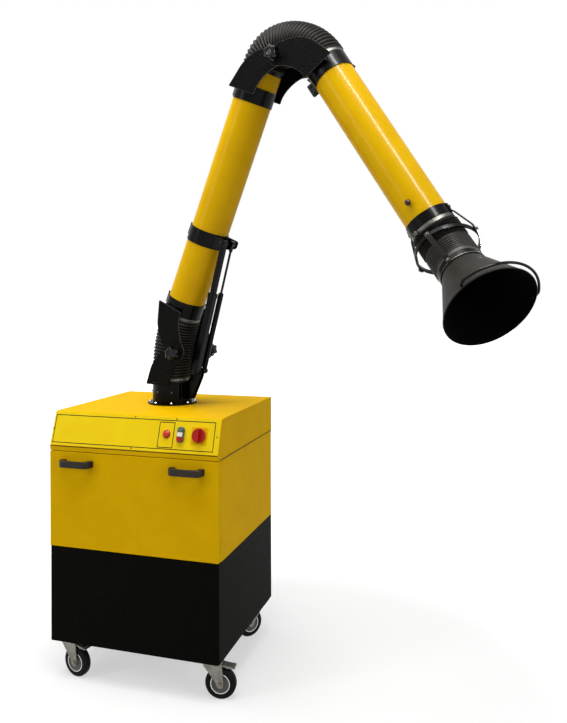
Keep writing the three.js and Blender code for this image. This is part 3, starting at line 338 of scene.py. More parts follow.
def linear(colour):
    """An sRGB hex colour as linear red, green, blue and alpha."""
    parts = [int(colour[i:i + 2], 16) / 255 for i in (1, 3, 5)]
    return [p / 12.92 if p <= 0.04045 else ((p + 0.055) / 1.055) ** 2.4 for p in parts] + [1.0]


def per_metre(size):
    """Pattern scale for features of this size in millimetres."""
    return 1 / (size * MM)


def add(tree, kind, sockets=(), **settings):
    """Adds a node with its settings, and sets or links its input sockets."""
    made = tree.nodes.new(kind)
    for name, value in settings.items():
        setattr(made, name, value)
    for socket, value in dict(sockets).items():
        if isinstance(value, bpy.types.NodeSocket):
            tree.links.new(value, made.inputs[socket])
        else:
            made.inputs[socket].default_value = value
    return made


def finish(name, dark, light, roughness, grain, bump, metallic=0.0, specular=0.5, coat=0.0, blotch=90,
           spread=0.08, grit=0.35):
    """A surface with soft blotches and fine grain in its colour, gloss and bump, sized in millimetres."""
    material = bpy.data.materials.new(name)
    material.use_nodes = True
    tree = material.node_tree
    shader = tree.nodes["Principled BSDF"]
    place = add(tree, "ShaderNodeTexCoord").outputs["Object"]
    cloud = add(tree, "ShaderNodeTexNoise", {"Vector": place, "Scale": per_metre(blotch), "Detail": 4.0})
    fine = add(tree, "ShaderNodeTexNoise", {"Vector": place, "Scale": per_metre(grain), "Detail": 3.0})
    speck = add(tree, "ShaderNodeMix", {
        "Factor": grit, "A": cloud.outputs["Fac"], "B": fine.outputs["Fac"]})
    ramp = add(tree, "ShaderNodeValToRGB", {"Fac": speck.outputs["Result"]})
    for element, position, colour in zip(ramp.color_ramp.elements, COLOUR_SPAN, (dark, light)):
        element.position = position
        element.color = linear(colour)
    gloss = add(tree, "ShaderNodeMapRange", {
        "Value": fine.outputs["Fac"], "From Min": GLOSS_SPAN[0], "From Max": GLOSS_SPAN[1],
        "To Min": roughness - spread, "To Max": roughness + spread})
    dent = add(tree, "ShaderNodeBump", {
        "Height": fine.outputs["Fac"], "Strength": 1.0, "Distance": bump * MM})
    tree.links.new(ramp.outputs["Color"], shader.inputs["Base Color"])
    tree.links.new(gloss.outputs["Result"], shader.inputs["Roughness"])
    tree.links.new(dent.outputs["Normal"], shader.inputs["Normal"])
    shader.inputs["Metallic"].default_value = metallic
    shader.inputs["Specular IOR Level"].default_value = specular
    shader.inputs["Coat Weight"].default_value = coat
    shader.inputs["Coat Roughness"].default_value = COAT_ROUGHNESS
    return material


def painted_groove_shade(material, groove):
    """Scales the base colour of a hose down from its crests to the groove level between them: painted shade
    in the grooves.
    """
    tree = material.node_tree
    colour = tree.nodes["Principled BSDF"].inputs["Base Color"]
    height = add(tree, "ShaderNodeAttribute", attribute_name=CREST_MARK)
    level = add(tree, "ShaderNodeMapRange", {"Value": height.outputs["Fac"], "To Min": groove})
    shade = add(tree, "ShaderNodeVectorMath", {
        "Vector": colour.links[0].from_socket, "Scale": level.outputs["Result"]}, operation="SCALE")
    tree.links.new(shade.outputs["Vector"], colour)


# Powder-coated tube, semi-gloss: an even warm yellow with a faint orange peel.
yellow_powder = finish("yellow_powder_coat_semi_gloss", "#EBB600", "#F3C103", roughness=0.33, grain=1.8,
                       bump=0.0015, specular=0.015, coat=0.1, spread=0.04)
# The same yellow on the cabinet's sheets: a flatter coat with a fine texture that keeps reflections soft.
cabinet_yellow = finish("yellow_powder_coat_sheet", "#E9B500", "#F2BF02", roughness=0.62, grain=2.6,
                        bump=0.06, specular=0.03, spread=0.06)
# Printed film on the console: a clearer, lemon yellow with a soft shine.
console_film = finish("printed_polyester_film", "#F8D200", "#FEDC04", roughness=0.5, grain=3.0, bump=0.02,
                      specular=0.1, spread=0.05)
# Coarse powder coat on cut plate: matt black with light grit, drawn a little coarse so that it shows.
pebbled_black = finish("black_powder_coat_pebbled", "#000000", "#191918", roughness=0.6, grain=6.0,
                       bump=1.4, specular=0.03, spread=0.14, grit=0.95)
# Smoother powder coat on the lower cabinet: deep black, its texture drawn coarse so that it shows.
cabinet_black = finish("black_powder_coat_fine", "#000000", "#0D0C08", roughness=0.6, grain=6.0, bump=0.6,
                       specular=0.025, spread=0.1, grit=0.9)
# Painted bands and drum: satin black that takes a cool highlight.
satin_black = finish("black_enamel_satin", "#020202", "#070707", roughness=0.27, grain=2.2, bump=0.05,
                     specular=0.07, coat=0.02, spread=0.06)
# Rounded edges of the black cheek plates: a lighter grey, a painted highlight along the edges.
painted_edge_highlight = finish("black_coat_rubbed_edge", "#1E1E1D", "#565450", roughness=0.45, grain=2.5, bump=0.08,
                     blotch=30)
# Coated fabric hose over a wire: dull grey-brown black that shines a little on the ribs, its colour lifted
# as a painted highlight on the crests.
hose_fabric = finish("coated_fabric_hose", "#242220", "#4B4641", roughness=0.46, grain=1.6, bump=0.2,
                     specular=0.04, blotch=45, grit=0.6)
# Grooves painted almost black against the crests: painted shade between the ribs.
painted_groove_shade(hose_fabric, 0.01)
# The finer hose at the hood: the same fabric greyed by dust.
dusty_hose = finish("coated_fabric_hose_dusty", "#23211E", "#4B4741", roughness=0.5, grain=1.4, bump=0.25,
                    specular=0.2, blotch=40, grit=0.6)
# Grooves painted darker against the crests: painted shade between the ribs.
painted_groove_shade(dusty_hose, 0.12)
# Moulded black nylon with a slight shine.
nylon_black = finish("moulded_nylon_black", "#020202", "#070707", roughness=0.2, grain=1.4, bump=0.04,
                     specular=0.08, coat=0.03, spread=0.05)
# Star knobs: black phenolic from a polished mould, with small hard highlights.
knob_phenolic = finish("moulded_phenolic_black", "#030303", "#090909", roughness=0.14, grain=1.2, bump=0.02,
                       specular=0.12, coat=0.07, spread=0.04)
# Moulded handles: a warm brown-black, duller from use.
handle_nylon = finish("moulded_nylon_handle", "#17120C", "#2B2115", roughness=0.42, grain=1.6, bump=0.1,
                      specular=0.2)
# Zinc-plated pressed steel: grey with a soft sheen and cloudy patches.
zinc_plate = finish("zinc_plated_steel", "#65635C", "#8D8B83", roughness=0.36, grain=3.0, bump=0.05,
                    metallic=1.0, blotch=26)
# Hose clips and drum screws: plated steel gone dull.
dull_steel = finish("dull_plated_steel", "#34322E", "#66645E", roughness=0.42, grain=3.0, bump=0.04,
                    metallic=1.0, blotch=16)
# Blackened bolts and rods: dark metal with a soft gleam.
dark_steel = finish("blackened_steel", "#101010", "#262626", roughness=0.3, grain=2.4, bump=0.03,
                    metallic=1.0, blotch=20)
# Bright screws and rims: fresh plating that mirrors softly.
bright_steel = finish("bright_plated_steel", "#C9CBCD", "#E4E5E6", roughness=0.22, grain=2.0, bump=0.02,
                      metallic=1.0, blotch=20, spread=0.05)
# Galvanised sheet of the fan and filter frames: pale grey with cloudy spangle.
galvanised = finish("galvanised_sheet", "#8E9396", "#B9BDBF", roughness=0.42, grain=6.0, bump=0.03,
                    metallic=1.0, blotch=18)
# Spun and painted hood: dull dark grey outside.
hood_grey = finish("grey_powder_coat_matt", "#0D0C0A", "#302C26", roughness=0.5, grain=2.4, bump=0.15,
                   specular=0.1, blotch=46, grit=0.55)
# Inside of the hood: soot black.
hood_soot = finish("black_inner_coat_matt", "#010101", "#040404", roughness=0.85, grain=2.0, bump=0.1,
                   specular=0.03)
# Tyre rubber: matt black. The moulded centre of the wheel: a warm mid grey.
tyre_rubber = finish("black_tyre_rubber", "#040403", "#0D0C0B", roughness=0.6, grain=1.2, bump=0.16,
                     specular=0.1)
wheel_grey = finish("moulded_wheel_centre", "#3A3933", "#5A584F", roughness=0.46, grain=1.6, bump=0.08)
# Control plastics: glossy mouldings in plain signal colours.
red_gloss = finish("moulded_red_gloss", "#A30A0A", "#B8120F", roughness=0.3, grain=1.2, bump=0.02,
                   specular=0.2, coat=0.06, spread=0.04)
green_gloss = finish("moulded_green_gloss", "#2F4A40", "#44645A", roughness=0.28, grain=1.2, bump=0.02,
                     coat=0.2, spread=0.04)
white_lens = finish("moulded_white_lens", "#E4DDD6", "#F2EDE6", roughness=0.25, grain=1.2, bump=0.02,
                    coat=0.3, spread=0.04)
lamp_red = finish("tinted_red_lens", "#C92208", "#E43A12", roughness=0.18, grain=1.5, bump=0.02,
                  specular=0.25, coat=0.15, spread=0.04)
damper_brown = finish("moulded_brown_knob", "#2E0D08", "#471309", roughness=0.24, grain=1.0, bump=0.02,
                      specular=0.2, coat=0.08, spread=0.04)
# Filter paper and its card frame: chalky cream.
filter_paper = finish("pleated_filter_paper", "#D6D0BE", "#E9E4D6", roughness=0.85, grain=0.9, bump=0.15)
# Printed line on the console: flat brown-black ink.
print_ink = finish("screen_print_ink", "#050402", "#0C0A05", roughness=0.5, grain=1.0, bump=0.01,
                   specular=0.1)

# Mesh tools. Each gives a new bmesh in millimetres.

# Distance within which vertices are one, and the cosine from which a face looks along a way
MERGE = 0.001
STRAIGHT = 0.999


def joined(*parts):
    out = bmesh.new()
    for part in parts:
        mesh = bpy.data.meshes.new("part")
        part.to_mesh(mesh)
        part.free()
        out.from_mesh(mesh)
        bpy.data.meshes.remove(mesh)
    return out


def moved(bm, *matrices):
    for matrix in matrices:
        bmesh.ops.transform(bm, matrix=matrix, verts=bm.verts)
    return bm


def copies(bm, matrices):
    """The same shape at each place, as one bmesh."""
    made = joined(*[moved(bm.copy(), matrix) for matrix in matrices])
    bm.free()
    return made


def pair(make):
    """What make gives for each of the two sides, as one bmesh."""
    return joined(*[make(side) for side in SIDES])


def span(side, near, far):
    """The range between two distances from the middle, on one side of it."""
    return sorted((side * near, side * far))


def rounded(bm, geom, reach, steps, affect):
    """Rounds edges or corners and gives the new faces."""
    made = bmesh.ops.bevel(bm, geom=geom, offset=reach, offset_type="OFFSET", segments=steps, profile=0.5,
                           affect=affect, clamp_overlap=True, material=-1)
    return made["faces"]


def softened(bm, width, segments=2, above=32, tint=0):
    """Rounds the edges that turn by more than the given angle; tint is the slot of the rounded faces."""
    edges = [e for e in bm.edges if e.is_manifold and e.calc_face_angle(0) > math.radians(above)]
    for face in rounded(bm, edges, width, segments, "EDGES"):
        face.material_index = tint
    return bm


def cleaned(bm):
    """Closes seams and points the faces outwards."""
    bmesh.ops.remove_doubles(bm, verts=bm.verts, dist=MERGE)
    bmesh.ops.recalc_face_normals(bm, faces=bm.faces)
    return bm


def lift_new(bm, made, height):
    """Moves up the vertices that an extrusion has made."""
    top = [v for v in made["geom"] if isinstance(v, bmesh.types.BMVert)]
    bmesh.ops.translate(bm, verts=top, vec=(0, 0, height))


def swept(profile, sides, angle):
    """A profile of (radius, height) points swept about Z; off the axis it closes on itself."""
    bm = bmesh.new()
    points = [bm.verts.new((radius, 0, height)) for radius, height in profile]
    edges = [bm.edges.new(ends) for ends in zip(points, points[1:])]
    if profile[0][0] > 0:
        edges.append(bm.edges.new((points[-1], points[0])))
    bmesh.ops.spin(bm, geom=points + edges, cent=(0, 0, 0), axis=(0, 0, 1), angle=angle, steps=sides,
                   use_merge=angle == TAU)
    return bm


def turned(profile, sides=96):
    return cleaned(swept(profile, sides, TAU))


def both_ways(profile):
    """A profile with its mirror image on the other side of Z = 0."""
    return profile + [(radius, -height) for radius, height in reversed(profile)]


def pipe(inner, outer, low, high, soft=0.5, sides=96):
    return softened(turned([(inner, low), (outer, low), (outer, high), (inner, high)], sides), soft)


def pin(radius, low, high, soft=0.5, sides=32):
    bm = turned([(0, low), (radius, low), (radius, high), (0, high)], sides)
    return softened(bm, soft) if soft else bm


def block(x, y, z, soft=0.8, segments=2):
    bm = bmesh.new()
    size = [high - low for low, high in (x, y, z)]
    middle = [(low + high) / 2 for low, high in (x, y, z)]
    bmesh.ops.create_cube(bm, size=1, matrix=shift(*middle) @ Matrix.Diagonal((*size, 1)))
    return softened(bm, soft, segments) if soft else bm


def slab(outline, low, high, soft=0.6, round_steps=6, tint=0):
    """A flat plate from (x, y, corner reach) points."""
    bm = bmesh.new()
    corners = [bm.verts.new((x, y, low)) for x, y, _ in outline]
    bm.faces.new(corners)
    for corner, (_, _, reach) in zip(corners, outline):
        if reach:
            rounded(bm, [corner], reach, round_steps, "VERTICES")
    bmesh.ops.remove_doubles(bm, verts=bm.verts, dist=MERGE)
    lift_new(bm, bmesh.ops.extrude_face_region(bm, geom=list(bm.faces)), high - low)
    bmesh.ops.recalc_face_normals(bm, faces=bm.faces)
    return softened(bm, soft, tint=tint) if soft else bm


def rectangle(width, height, reach):
    return [(x * width / 2, y * height / 2, reach) for x, y in ((-1, -1), (1, -1), (1, 1), (-1, 1))]


def flipped(outline, side):
    """An outline, or its mirror image on the other side of X = 0."""
    return [(side * x, y, reach) for x, y, reach in outline]


# Turns a plate drawn in X and Y so that it stands in the XZ or the YZ plane
IN_XZ = turn(90, "X")
IN_YZ = Matrix(((0, 0, 1, 0), (1, 0, 0, 0), (0, 1, 0, 0), (0, 0, 0, 1)))
# Turns a shape that stands on Z so that it lies along X or Y
ALONG_X = turn(90, "Y")
ALONG_Y = turn(-90, "X")


def standing(outline, y0, y1, **options):
    """A plate drawn in X and Z, from y0 to y1."""
    return moved(slab(outline, -y1, -y0, **options), IN_XZ)


def plate_pair(outline, inner, sheet, **options):
    """Two standing plates, one on each side of the middle."""
    return pair(lambda side: standing(outline, *span(side, inner, inner + sheet), **options))


def folded(path, reach, low, high, thickness):
    """A bent sheet that follows a path of (x, y) points, with its corners rounded."""
    bm = bmesh.new()
    points = [bm.verts.new((x, y, low)) for x, y in path]
    for ends in zip(points, points[1:]):
        bm.edges.new(ends)
    rounded(bm, points[1:-1], reach, 6, "VERTICES")
    lift_new(bm, bmesh.ops.extrude_edge_only(bm, edges=list(bm.edges)), high - low)
    bmesh.ops.recalc_face_normals(bm, faces=bm.faces)
    bmesh.ops.solidify(bm, geom=list(bm.faces), thickness=thickness)
    bmesh.ops.recalc_face_normals(bm, faces=bm.faces)
    return bm


def looking(bm, way):
    """The flat faces that look along this way."""
    bm.normal_update()
    return [face for face in bm.faces if face.normal.dot(Vector(way)) > STRAIGHT]


def opened(bm, lids, thickness):
    """Takes off these faces and gives the rest a wall inwards."""
    bmesh.ops.delete(bm, geom=lids, context="FACES")
    bmesh.ops.solidify(bm, geom=list(bm.faces), thickness=thickness)
    return bm


def skin(stations, sides, point, closed, crest=None):
    """A skin over rings: point(station, angle) places each vertex; closed joins the last ring to the first.

    crest(station, angle), where it is given, is kept on the vertices for the finish to read.
    """
    loop = stations + stations[:1] if closed else stations
    steps = len(loop) - 1
    bm = bmesh.new()
    bmesh.ops.create_grid(bm, x_segments=steps, y_segments=sides, size=0.5)
    height = bm.verts.layers.float.new(CREST_MARK) if crest else None
    for vert in bm.verts:
        station = loop[round((vert.co.x + 0.5) * steps)]
        angle = (vert.co.y + 0.5) * TAU
        vert.co = point(station, angle)
        if crest:
            vert[height] = crest(station, angle)
    return cleaned(bm)


def route(points):
    """A line through points as its length and a function of distance that gives place and way."""
    marks = [0.0]
    for here, there in zip(points, points[1:]):
        marks.append(marks[-1] + (there - here).length)
    last = len(points) - 1
    ways = [(points[min(i + 1, last)] - points[max(i - 1, 0)]).normalized() for i in range(last + 1)]

    def at(distance):
        i = min(max(bisect_right(marks, distance) - 1, 0), last - 1)
        share = (distance - marks[i]) / (marks[i + 1] - marks[i])
        return points[i].lerp(points[i + 1], share), ways[i].lerp(ways[i + 1], share).normalized()

    return marks[-1], at


def bend_route(start, start_way, grip_in, end, end_way, grip_out, bend):
    """Straight out of one tube, round a bend, and straight into the next."""
    leave = start + start_way * grip_in
    enter = end - end_way * grip_out
    curve = interpolate_bezier(leave, leave + start_way * bend, enter - end_way * bend, enter, 120)
    return route([start, *curve, end])


def rod(points, radius, sides=16, steps=80):
    """A round bar along a line of points, with closed ends."""
    length, at = route(points)
    side_way = (points[1] - points[0]).cross(points[-1] - points[0]).normalized()
    stations = [(0, 0)] + [(length * i / steps, radius) for i in range(steps + 1)] + [(length, 0)]

    def point(station, angle):
        centre, way = at(station[0])
        side = way.cross(side_way).normalized()
        return centre + station[1] * (side * math.cos(angle) + side_way * math.sin(angle))

    return skin(stations, sides, point, closed=False)


def hose(length, at, across, ribs, rib=RIB, cuff=(14, 14), helix=1, per_rib=9, sink=RIB_SINK):
    """A corrugated hose with rounded helical ribs and plain cuffs, with its own wall."""
    pitch = (length - sum(cuff)) / ribs
    count = round(length / pitch * per_rib)
    outer = [(length * i / count, True) for i in range(count + 1)]
    inner = [(length * i / HOSE_STEPS, False) for i in range(HOSE_STEPS, -1, -1)]

    def ribbed(distance):
        """How far a place is into the ribbed length, from 0 on a cuff to 1."""
        from_end = min(distance - cuff[0], length - cuff[1] - distance)
        return min(max(from_end / (0.5 * pitch), 0), 1)

    def wave(distance, angle):
        return 0.5 - 0.5 * math.cos(TAU * (distance - cuff[0]) / pitch + helix * angle)

    def point(station, angle):
        distance, outside = station
        centre, way = at(distance)
        side = way.cross(across).normalized()
        radius = HOSE_ROOT - HOSE_WALL
        if outside:
            radius = HOSE_ROOT + ribbed(distance) * ((rib + sink) * wave(distance, angle) - sink)
        return centre + radius * (side * math.cos(angle) + across * math.sin(angle))

    def crest(station, angle):
        distance, outside = station
        return 1 - ribbed(distance) * (1 - wave(distance, angle)) if outside else 0

    return skin(outer + inner, HOSE_SIDES, point, True, crest)


def dome_screw(radius, height):
    """A round-head screw with a hexagon socket rim, standing on Z = 0."""
    return turned([
        (0, -1), (radius, -1), (radius, 0.25 * height), (0.86 * radius, 0.7 * height),
        (0.6 * radius, height), (0.34 * radius, height), (0.3 * radius, 0.55 * height),
        (0, 0.55 * height)], 24)


def hex_bolt(radius, height):
    """A hexagon head on its washer, standing on Z = 0."""
    washer = pin(1.45 * radius, -0.5, 0.25 * radius, 0.2, 24)
    return joined(washer, pin(radius, 0.2 * radius, height, 0.12 * radius, 6))


def bolt_pair(radius, height, reach, axis, place=shift()):
    """Two bolt heads at this reach from the middle, turned about the axis to face away from each other."""
    return pair(lambda side: moved(hex_bolt(radius, height), along(reach), turn(side * 90, axis), place))


# Hand-over to the frame


def piece(name, bm, place, material, body, slot, replaces=(), edge=None, sharp=34):
    """Makes the mesh a smooth-shaded object in the part's frame, riding on its body."""
    moved(bm, place)
    mesh = bpy.data.meshes.new(name)
    bm.to_mesh(mesh)
    bm.free()
    mesh.shade_smooth()
    mesh.set_sharp_from_angle(angle=math.radians(sharp))
    made = bpy.data.objects.new(name, mesh)
    bpy.context.scene.collection.objects.link(made)
    for coat in [material] + ([edge] if edge else []):
        mesh.materials.append(coat)
    if isinstance(body, str):
        weighted = made.modifiers.new("weighted_normals", "WEIGHTED_NORMAL")
        weighted.keep_sharp = True
        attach(made, body)
    else:
        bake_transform(made)
    if replaces:
        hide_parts(*replaces)
    return made


# Lower cabinet and exhaust grille

shell = slab(rectangle(WIDTH, DEPTH, CORNER), FOOT, BASE_TOP - GAP, soft=1.0)
piece("base_cabinet", opened(shell, looking(shell, (0, 0, 1)), SHEET), CABINET, cabinet_black, "cabinet",
      "black_coat", ["base_frame"])

grille_face = BACK + GAP + GRILLE_SHEET
panel = block(GRILLE_X, (BACK + GAP, grille_face), GRILLE_Z, 0.8)
louvre = moved(slab([(0, 0, 0), (9, 1.5, 2), (1, 12, 0.5), (0, 12, 0)],
                    GRILLE_X[0] + LOUVRE_MARGIN, GRILLE_X[1] - LOUVRE_MARGIN, 0.5), IN_YZ)
levels = [GRILLE_Z[0] + LOUVRE_FROM + LOUVRE_PITCH * i for i in range(LOUVRES)]
louvres = copies(louvre, [shift(0, grille_face - 0.1, z) for z in levels])
piece("grille_panel", joined(panel, louvres), CABINET, cabinet_black, "cabinet", "black_coat",
      ["exhaust_grille"])
corners = [(x, z) for x in (GRILLE_X[0] + SCREW_MARGIN, GRILLE_X[1] - SCREW_MARGIN)
           for z in (GRILLE_Z[0] + SCREW_MARGIN, GRILLE_Z[1] - SCREW_MARGIN)]
screws = copies(moved(dome_screw(4, 2.6), ALONG_Y), [shift(x, grille_face, z) for x, z in corners])
piece("grille_screws", screws, CABINET, bright_steel, "cabinet", "zinc_steel")

# Filter bay: bent walls with front flanges, floor and filter ledges

walls = folded([(FLANGE - HALF, BAY_FRONT), (-HALF, BAY_FRONT), (-HALF, BACK), (HALF, BACK),
                (HALF, BAY_FRONT), (HALF - FLANGE, BAY_FRONT)], CORNER, BASE_TOP, BAY_TOP, SHEET)
inside = HALF - 1
bay_depth = (BAY_FRONT + 1, BACK - 1)
floor = block((-inside, inside), bay_depth, (BASE_TOP, BASE_TOP + SHEET), 0)
strip_x = (FLANGE - HALF - 1, HALF - FLANGE + 1)
strips = [block(strip_x, (BAY_FRONT, BAY_FRONT + SHEET), (z, z + FLANGE), 0.4)
          for z in (BASE_TOP, BAY_TOP - FLANGE)]
ledges = [block(span(side, inside, HALF - LEDGE), bay_depth,
                (BASE_TOP + level - SHEET, BASE_TOP + level), 0.4)
          for side in SIDES for level in (CASSETTE_LEVEL, PREFILTER_LEVEL)]
piece("filter_bay", joined(walls, floor, *strips, *ledges), CABINET, cabinet_yellow, "cabinet",
      "yellow_paint", ["upper_cabinet"])

# Cover with its lip and sloped console, with dark strips as painted shadow under the console and along the
# cover seam

COVER_FOOT = BAY_TOP + GAP
LIP_TOP = COVER_FOOT + LIP
cover = moved(slab([(FRONT, COVER_FOOT, 0), (FRONT, LIP_TOP, 3), (FRONT + SET_BACK, COVER_TOP, 8),
                    (BACK, COVER_TOP, 6), (BACK, COVER_FOOT, 0)], -HALF, HALF, soft=1.8), IN_YZ)
piece("cover_shell", opened(cover, looking(cover, (0, 0, -1)), SHEET), CABINET, cabinet_yellow, "cabinet",
      "yellow_paint", ["top_cover"])
plate = slab(rectangle(WIDTH - 3, CONSOLE_HEIGHT, 2), 0, CONSOLE_PLATE, 0.6)
piece("console_plate", moved(plate, shift(0, -1.5)), CONSOLE, console_film, "cabinet", "yellow_paint")
full_width = (2 - HALF, HALF - 2)
# A dark rubber strip under the console's lower edge: painted shadow of the console's overhang.
under_console_shadow = block(full_width, (FRONT - 0.5, FRONT + 4), (LIP_TOP - 4.5, LIP_TOP - 2), 0.3)
piece("console_shadow_strip", under_console_shadow, CABINET, tyre_rubber, "cabinet", "hose_rubber")
# Dark rubber strips along the seam between cover and bay: painted shadow in the seam.
seam = (BAY_TOP - 1.0, BAY_TOP + 1.4)
flanks = pair(lambda side: block((side * HALF - 2.5, side * HALF + 2.5), (BAY_FRONT, BACK - 1), seam, 0.3))
rear = block(full_width, (BACK - 2.5, BACK + 2.5), seam, 0.3)
piece("cover_seam_shadow_strip", joined(flanks, rear), CABINET, tyre_rubber, "cabinet", "hose_rubber")


def line_frame(x, y):
    """A thin printed rectangle."""
    z = (CONSOLE_PLATE - 0.2, CONSOLE_PLATE + 0.12)
    whole_x, whole_y = [(low - LINE_HALF, high + LINE_HALF) for low, high in (x, y)]
    bars = [block(whole_x, (v - LINE_HALF, v + LINE_HALF), z, 0) for v in y]
    bars += [block((v - LINE_HALF, v + LINE_HALF), whole_y, z, 0) for v in x]
    return joined(*bars)


lines = joined(line_frame(*OUTER_LINE), line_frame(*LAMP_LINE))
piece("console_lines", lines, CONSOLE, print_ink, "cabinet", "black_plastic")
rivets = copies(dome_screw(2.6, 1.5), [shift(x, y, CONSOLE_PLATE) for x, y in RIVETS])
piece("console_rivets", rivets, CONSOLE, dark_steel, "cabinet", "zinc_steel")

# Controls

lamp = CONSOLE @ shift(LAMP_X)
ring = turned([(13.4, GAP), (16, GAP), (16, 4), (14.6, 6), (13.4, 6)], 48)
piece("lamp_ring", softened(ring, 0.5), lamp, red_gloss, "cabinet", "red_plastic")
lens = [(0, GAP), (13.3, GAP), (13.3, 7), (LENS_EDGE, LENS_FOOT)]
for i in range(1, LENS_RINGS):
    facet = 0.5 if i % 2 else 0
    share = i / LENS_RINGS
    lens.append((LENS_EDGE * (1 - share) + facet, LENS_FOOT + LENS_CROWN * math.sin(share * math.pi / 2)))
lens.append((0, LENS_FOOT + LENS_CROWN))
piece("lamp_lens", turned(lens, 48), lamp, lamp_red, "cabinet", "lamp_lens", ["pilot_lamp"])

push = CONSOLE @ shift(PUSH_X)
bezel = joined(slab(rectangle(29, 60, 12), GAP, 9, 1.2), slab(rectangle(26, 57, 11), 8, 12, 1.2))
piece("push_bezel", bezel, push, wheel_grey, "cabinet", "black_plastic", ["button_bezel"])
piece("push_lens", slab(rectangle(22, 17, 2), 11, 14, 1.0), push, white_lens, "cabinet", "lamp_lens")
cap = [(-11, -8.5, 2), (11, -8.5, 2), (11, 8.5, 8), (-11, 8.5, 8)]
buttons = (("start", 1, green_gloss, "green_plastic"), ("stop", -1, red_gloss, "red_plastic"))
for name, side, coat, slot in buttons:
    button = slab([(x, side * y, reach) for x, y, reach in cap], PUSH_FLOOR, PUSH_FLOOR + PUSH_HEIGHT, 1.2)
    piece(f"{name}_cap", button, push @ shift(0, side * PUSH_SPREAD), coat, f"{name}_button", slot,
          [f"{name}_button"])

switch = CONSOLE @ shift(SWITCH_X)
mount = slab(rectangle(SWITCH_MOUNT, SWITCH_MOUNT, 6), GAP, GAP + 4, 1.0)
piece("switch_mount", mount, switch, cabinet_yellow, "cabinet", "yellow_paint", ["switch_plate"])
dial = turned([(0, 4.6), (27, 4.6), (28, 6.5), (28, 11), (25.5, 13.5), (21, 13), (0, 12.5)], 64)
grip_bar = slab(rectangle(13, 50, 6), 6, 27.6, 2.5)
piece("switch_dial", joined(softened(dial, 0.6), grip_bar), switch, red_gloss, "main_switch", "red_plastic",
      ["main_switch"])

# Door: a pan with returned edges, and its handles

pan = block((-HALF, HALF), (0, DOOR_DEPTH), (DOOR_SEAM, DOOR_HEIGHT - DOOR_SEAM), 2.0, 3)
back = looking(pan, (0, 1, 0))
bmesh.ops.inset_region(pan, faces=back, thickness=DOOR_RIM, use_even_offset=True)
piece("door_pan", opened(pan, back, DOOR_SHEET), DOOR, cabinet_yellow, "door", "yellow_paint",
      ["front_door"])

heel = HANDLE_HALF - HANDLE_FOOT
palm = HANDLE_BAR - HANDLE_REACH
bridge = [(-HANDLE_HALF, 0, 3), (7 - HANDLE_HALF, -HANDLE_REACH, 20), (HANDLE_HALF - 7, -HANDLE_REACH, 20),
          (HANDLE_HALF, 0, 3), (heel, 0, 2), (heel - 3, palm, 10), (3 - heel, palm, 10), (-heel, 0, 2)]
handle = slab(bridge, -HANDLE_HEIGHT / 2, HANDLE_HEIGHT / 2, soft=0)
softened(handle, 4.0, 3, above=60)
for tag, side in (("left", -1), ("right", 1)):
    spot = DOOR @ shift(side * HANDLE_SPREAD, -GAP, DOOR_HEIGHT - HANDLE_DROP)
    piece(f"handle_{tag}", handle.copy(), spot, handle_nylon, "door", "black_plastic",
          [f"door_handle_{tag}"])
handle.free()

# Kept inner pieces take finishes of their own: fan, filters and gasket

kept = {"fan_scroll": galvanised, "fan_impeller": galvanised, "fan_motor": satin_black,
        "prefilter": galvanised, "filter_cassette": filter_paper, "door_gasket": tyre_rubber}
for node, coat in kept.items():
    slots = frame["nodes"][node].data.materials
    slots.clear()
    slots.append(coat)

# Castors


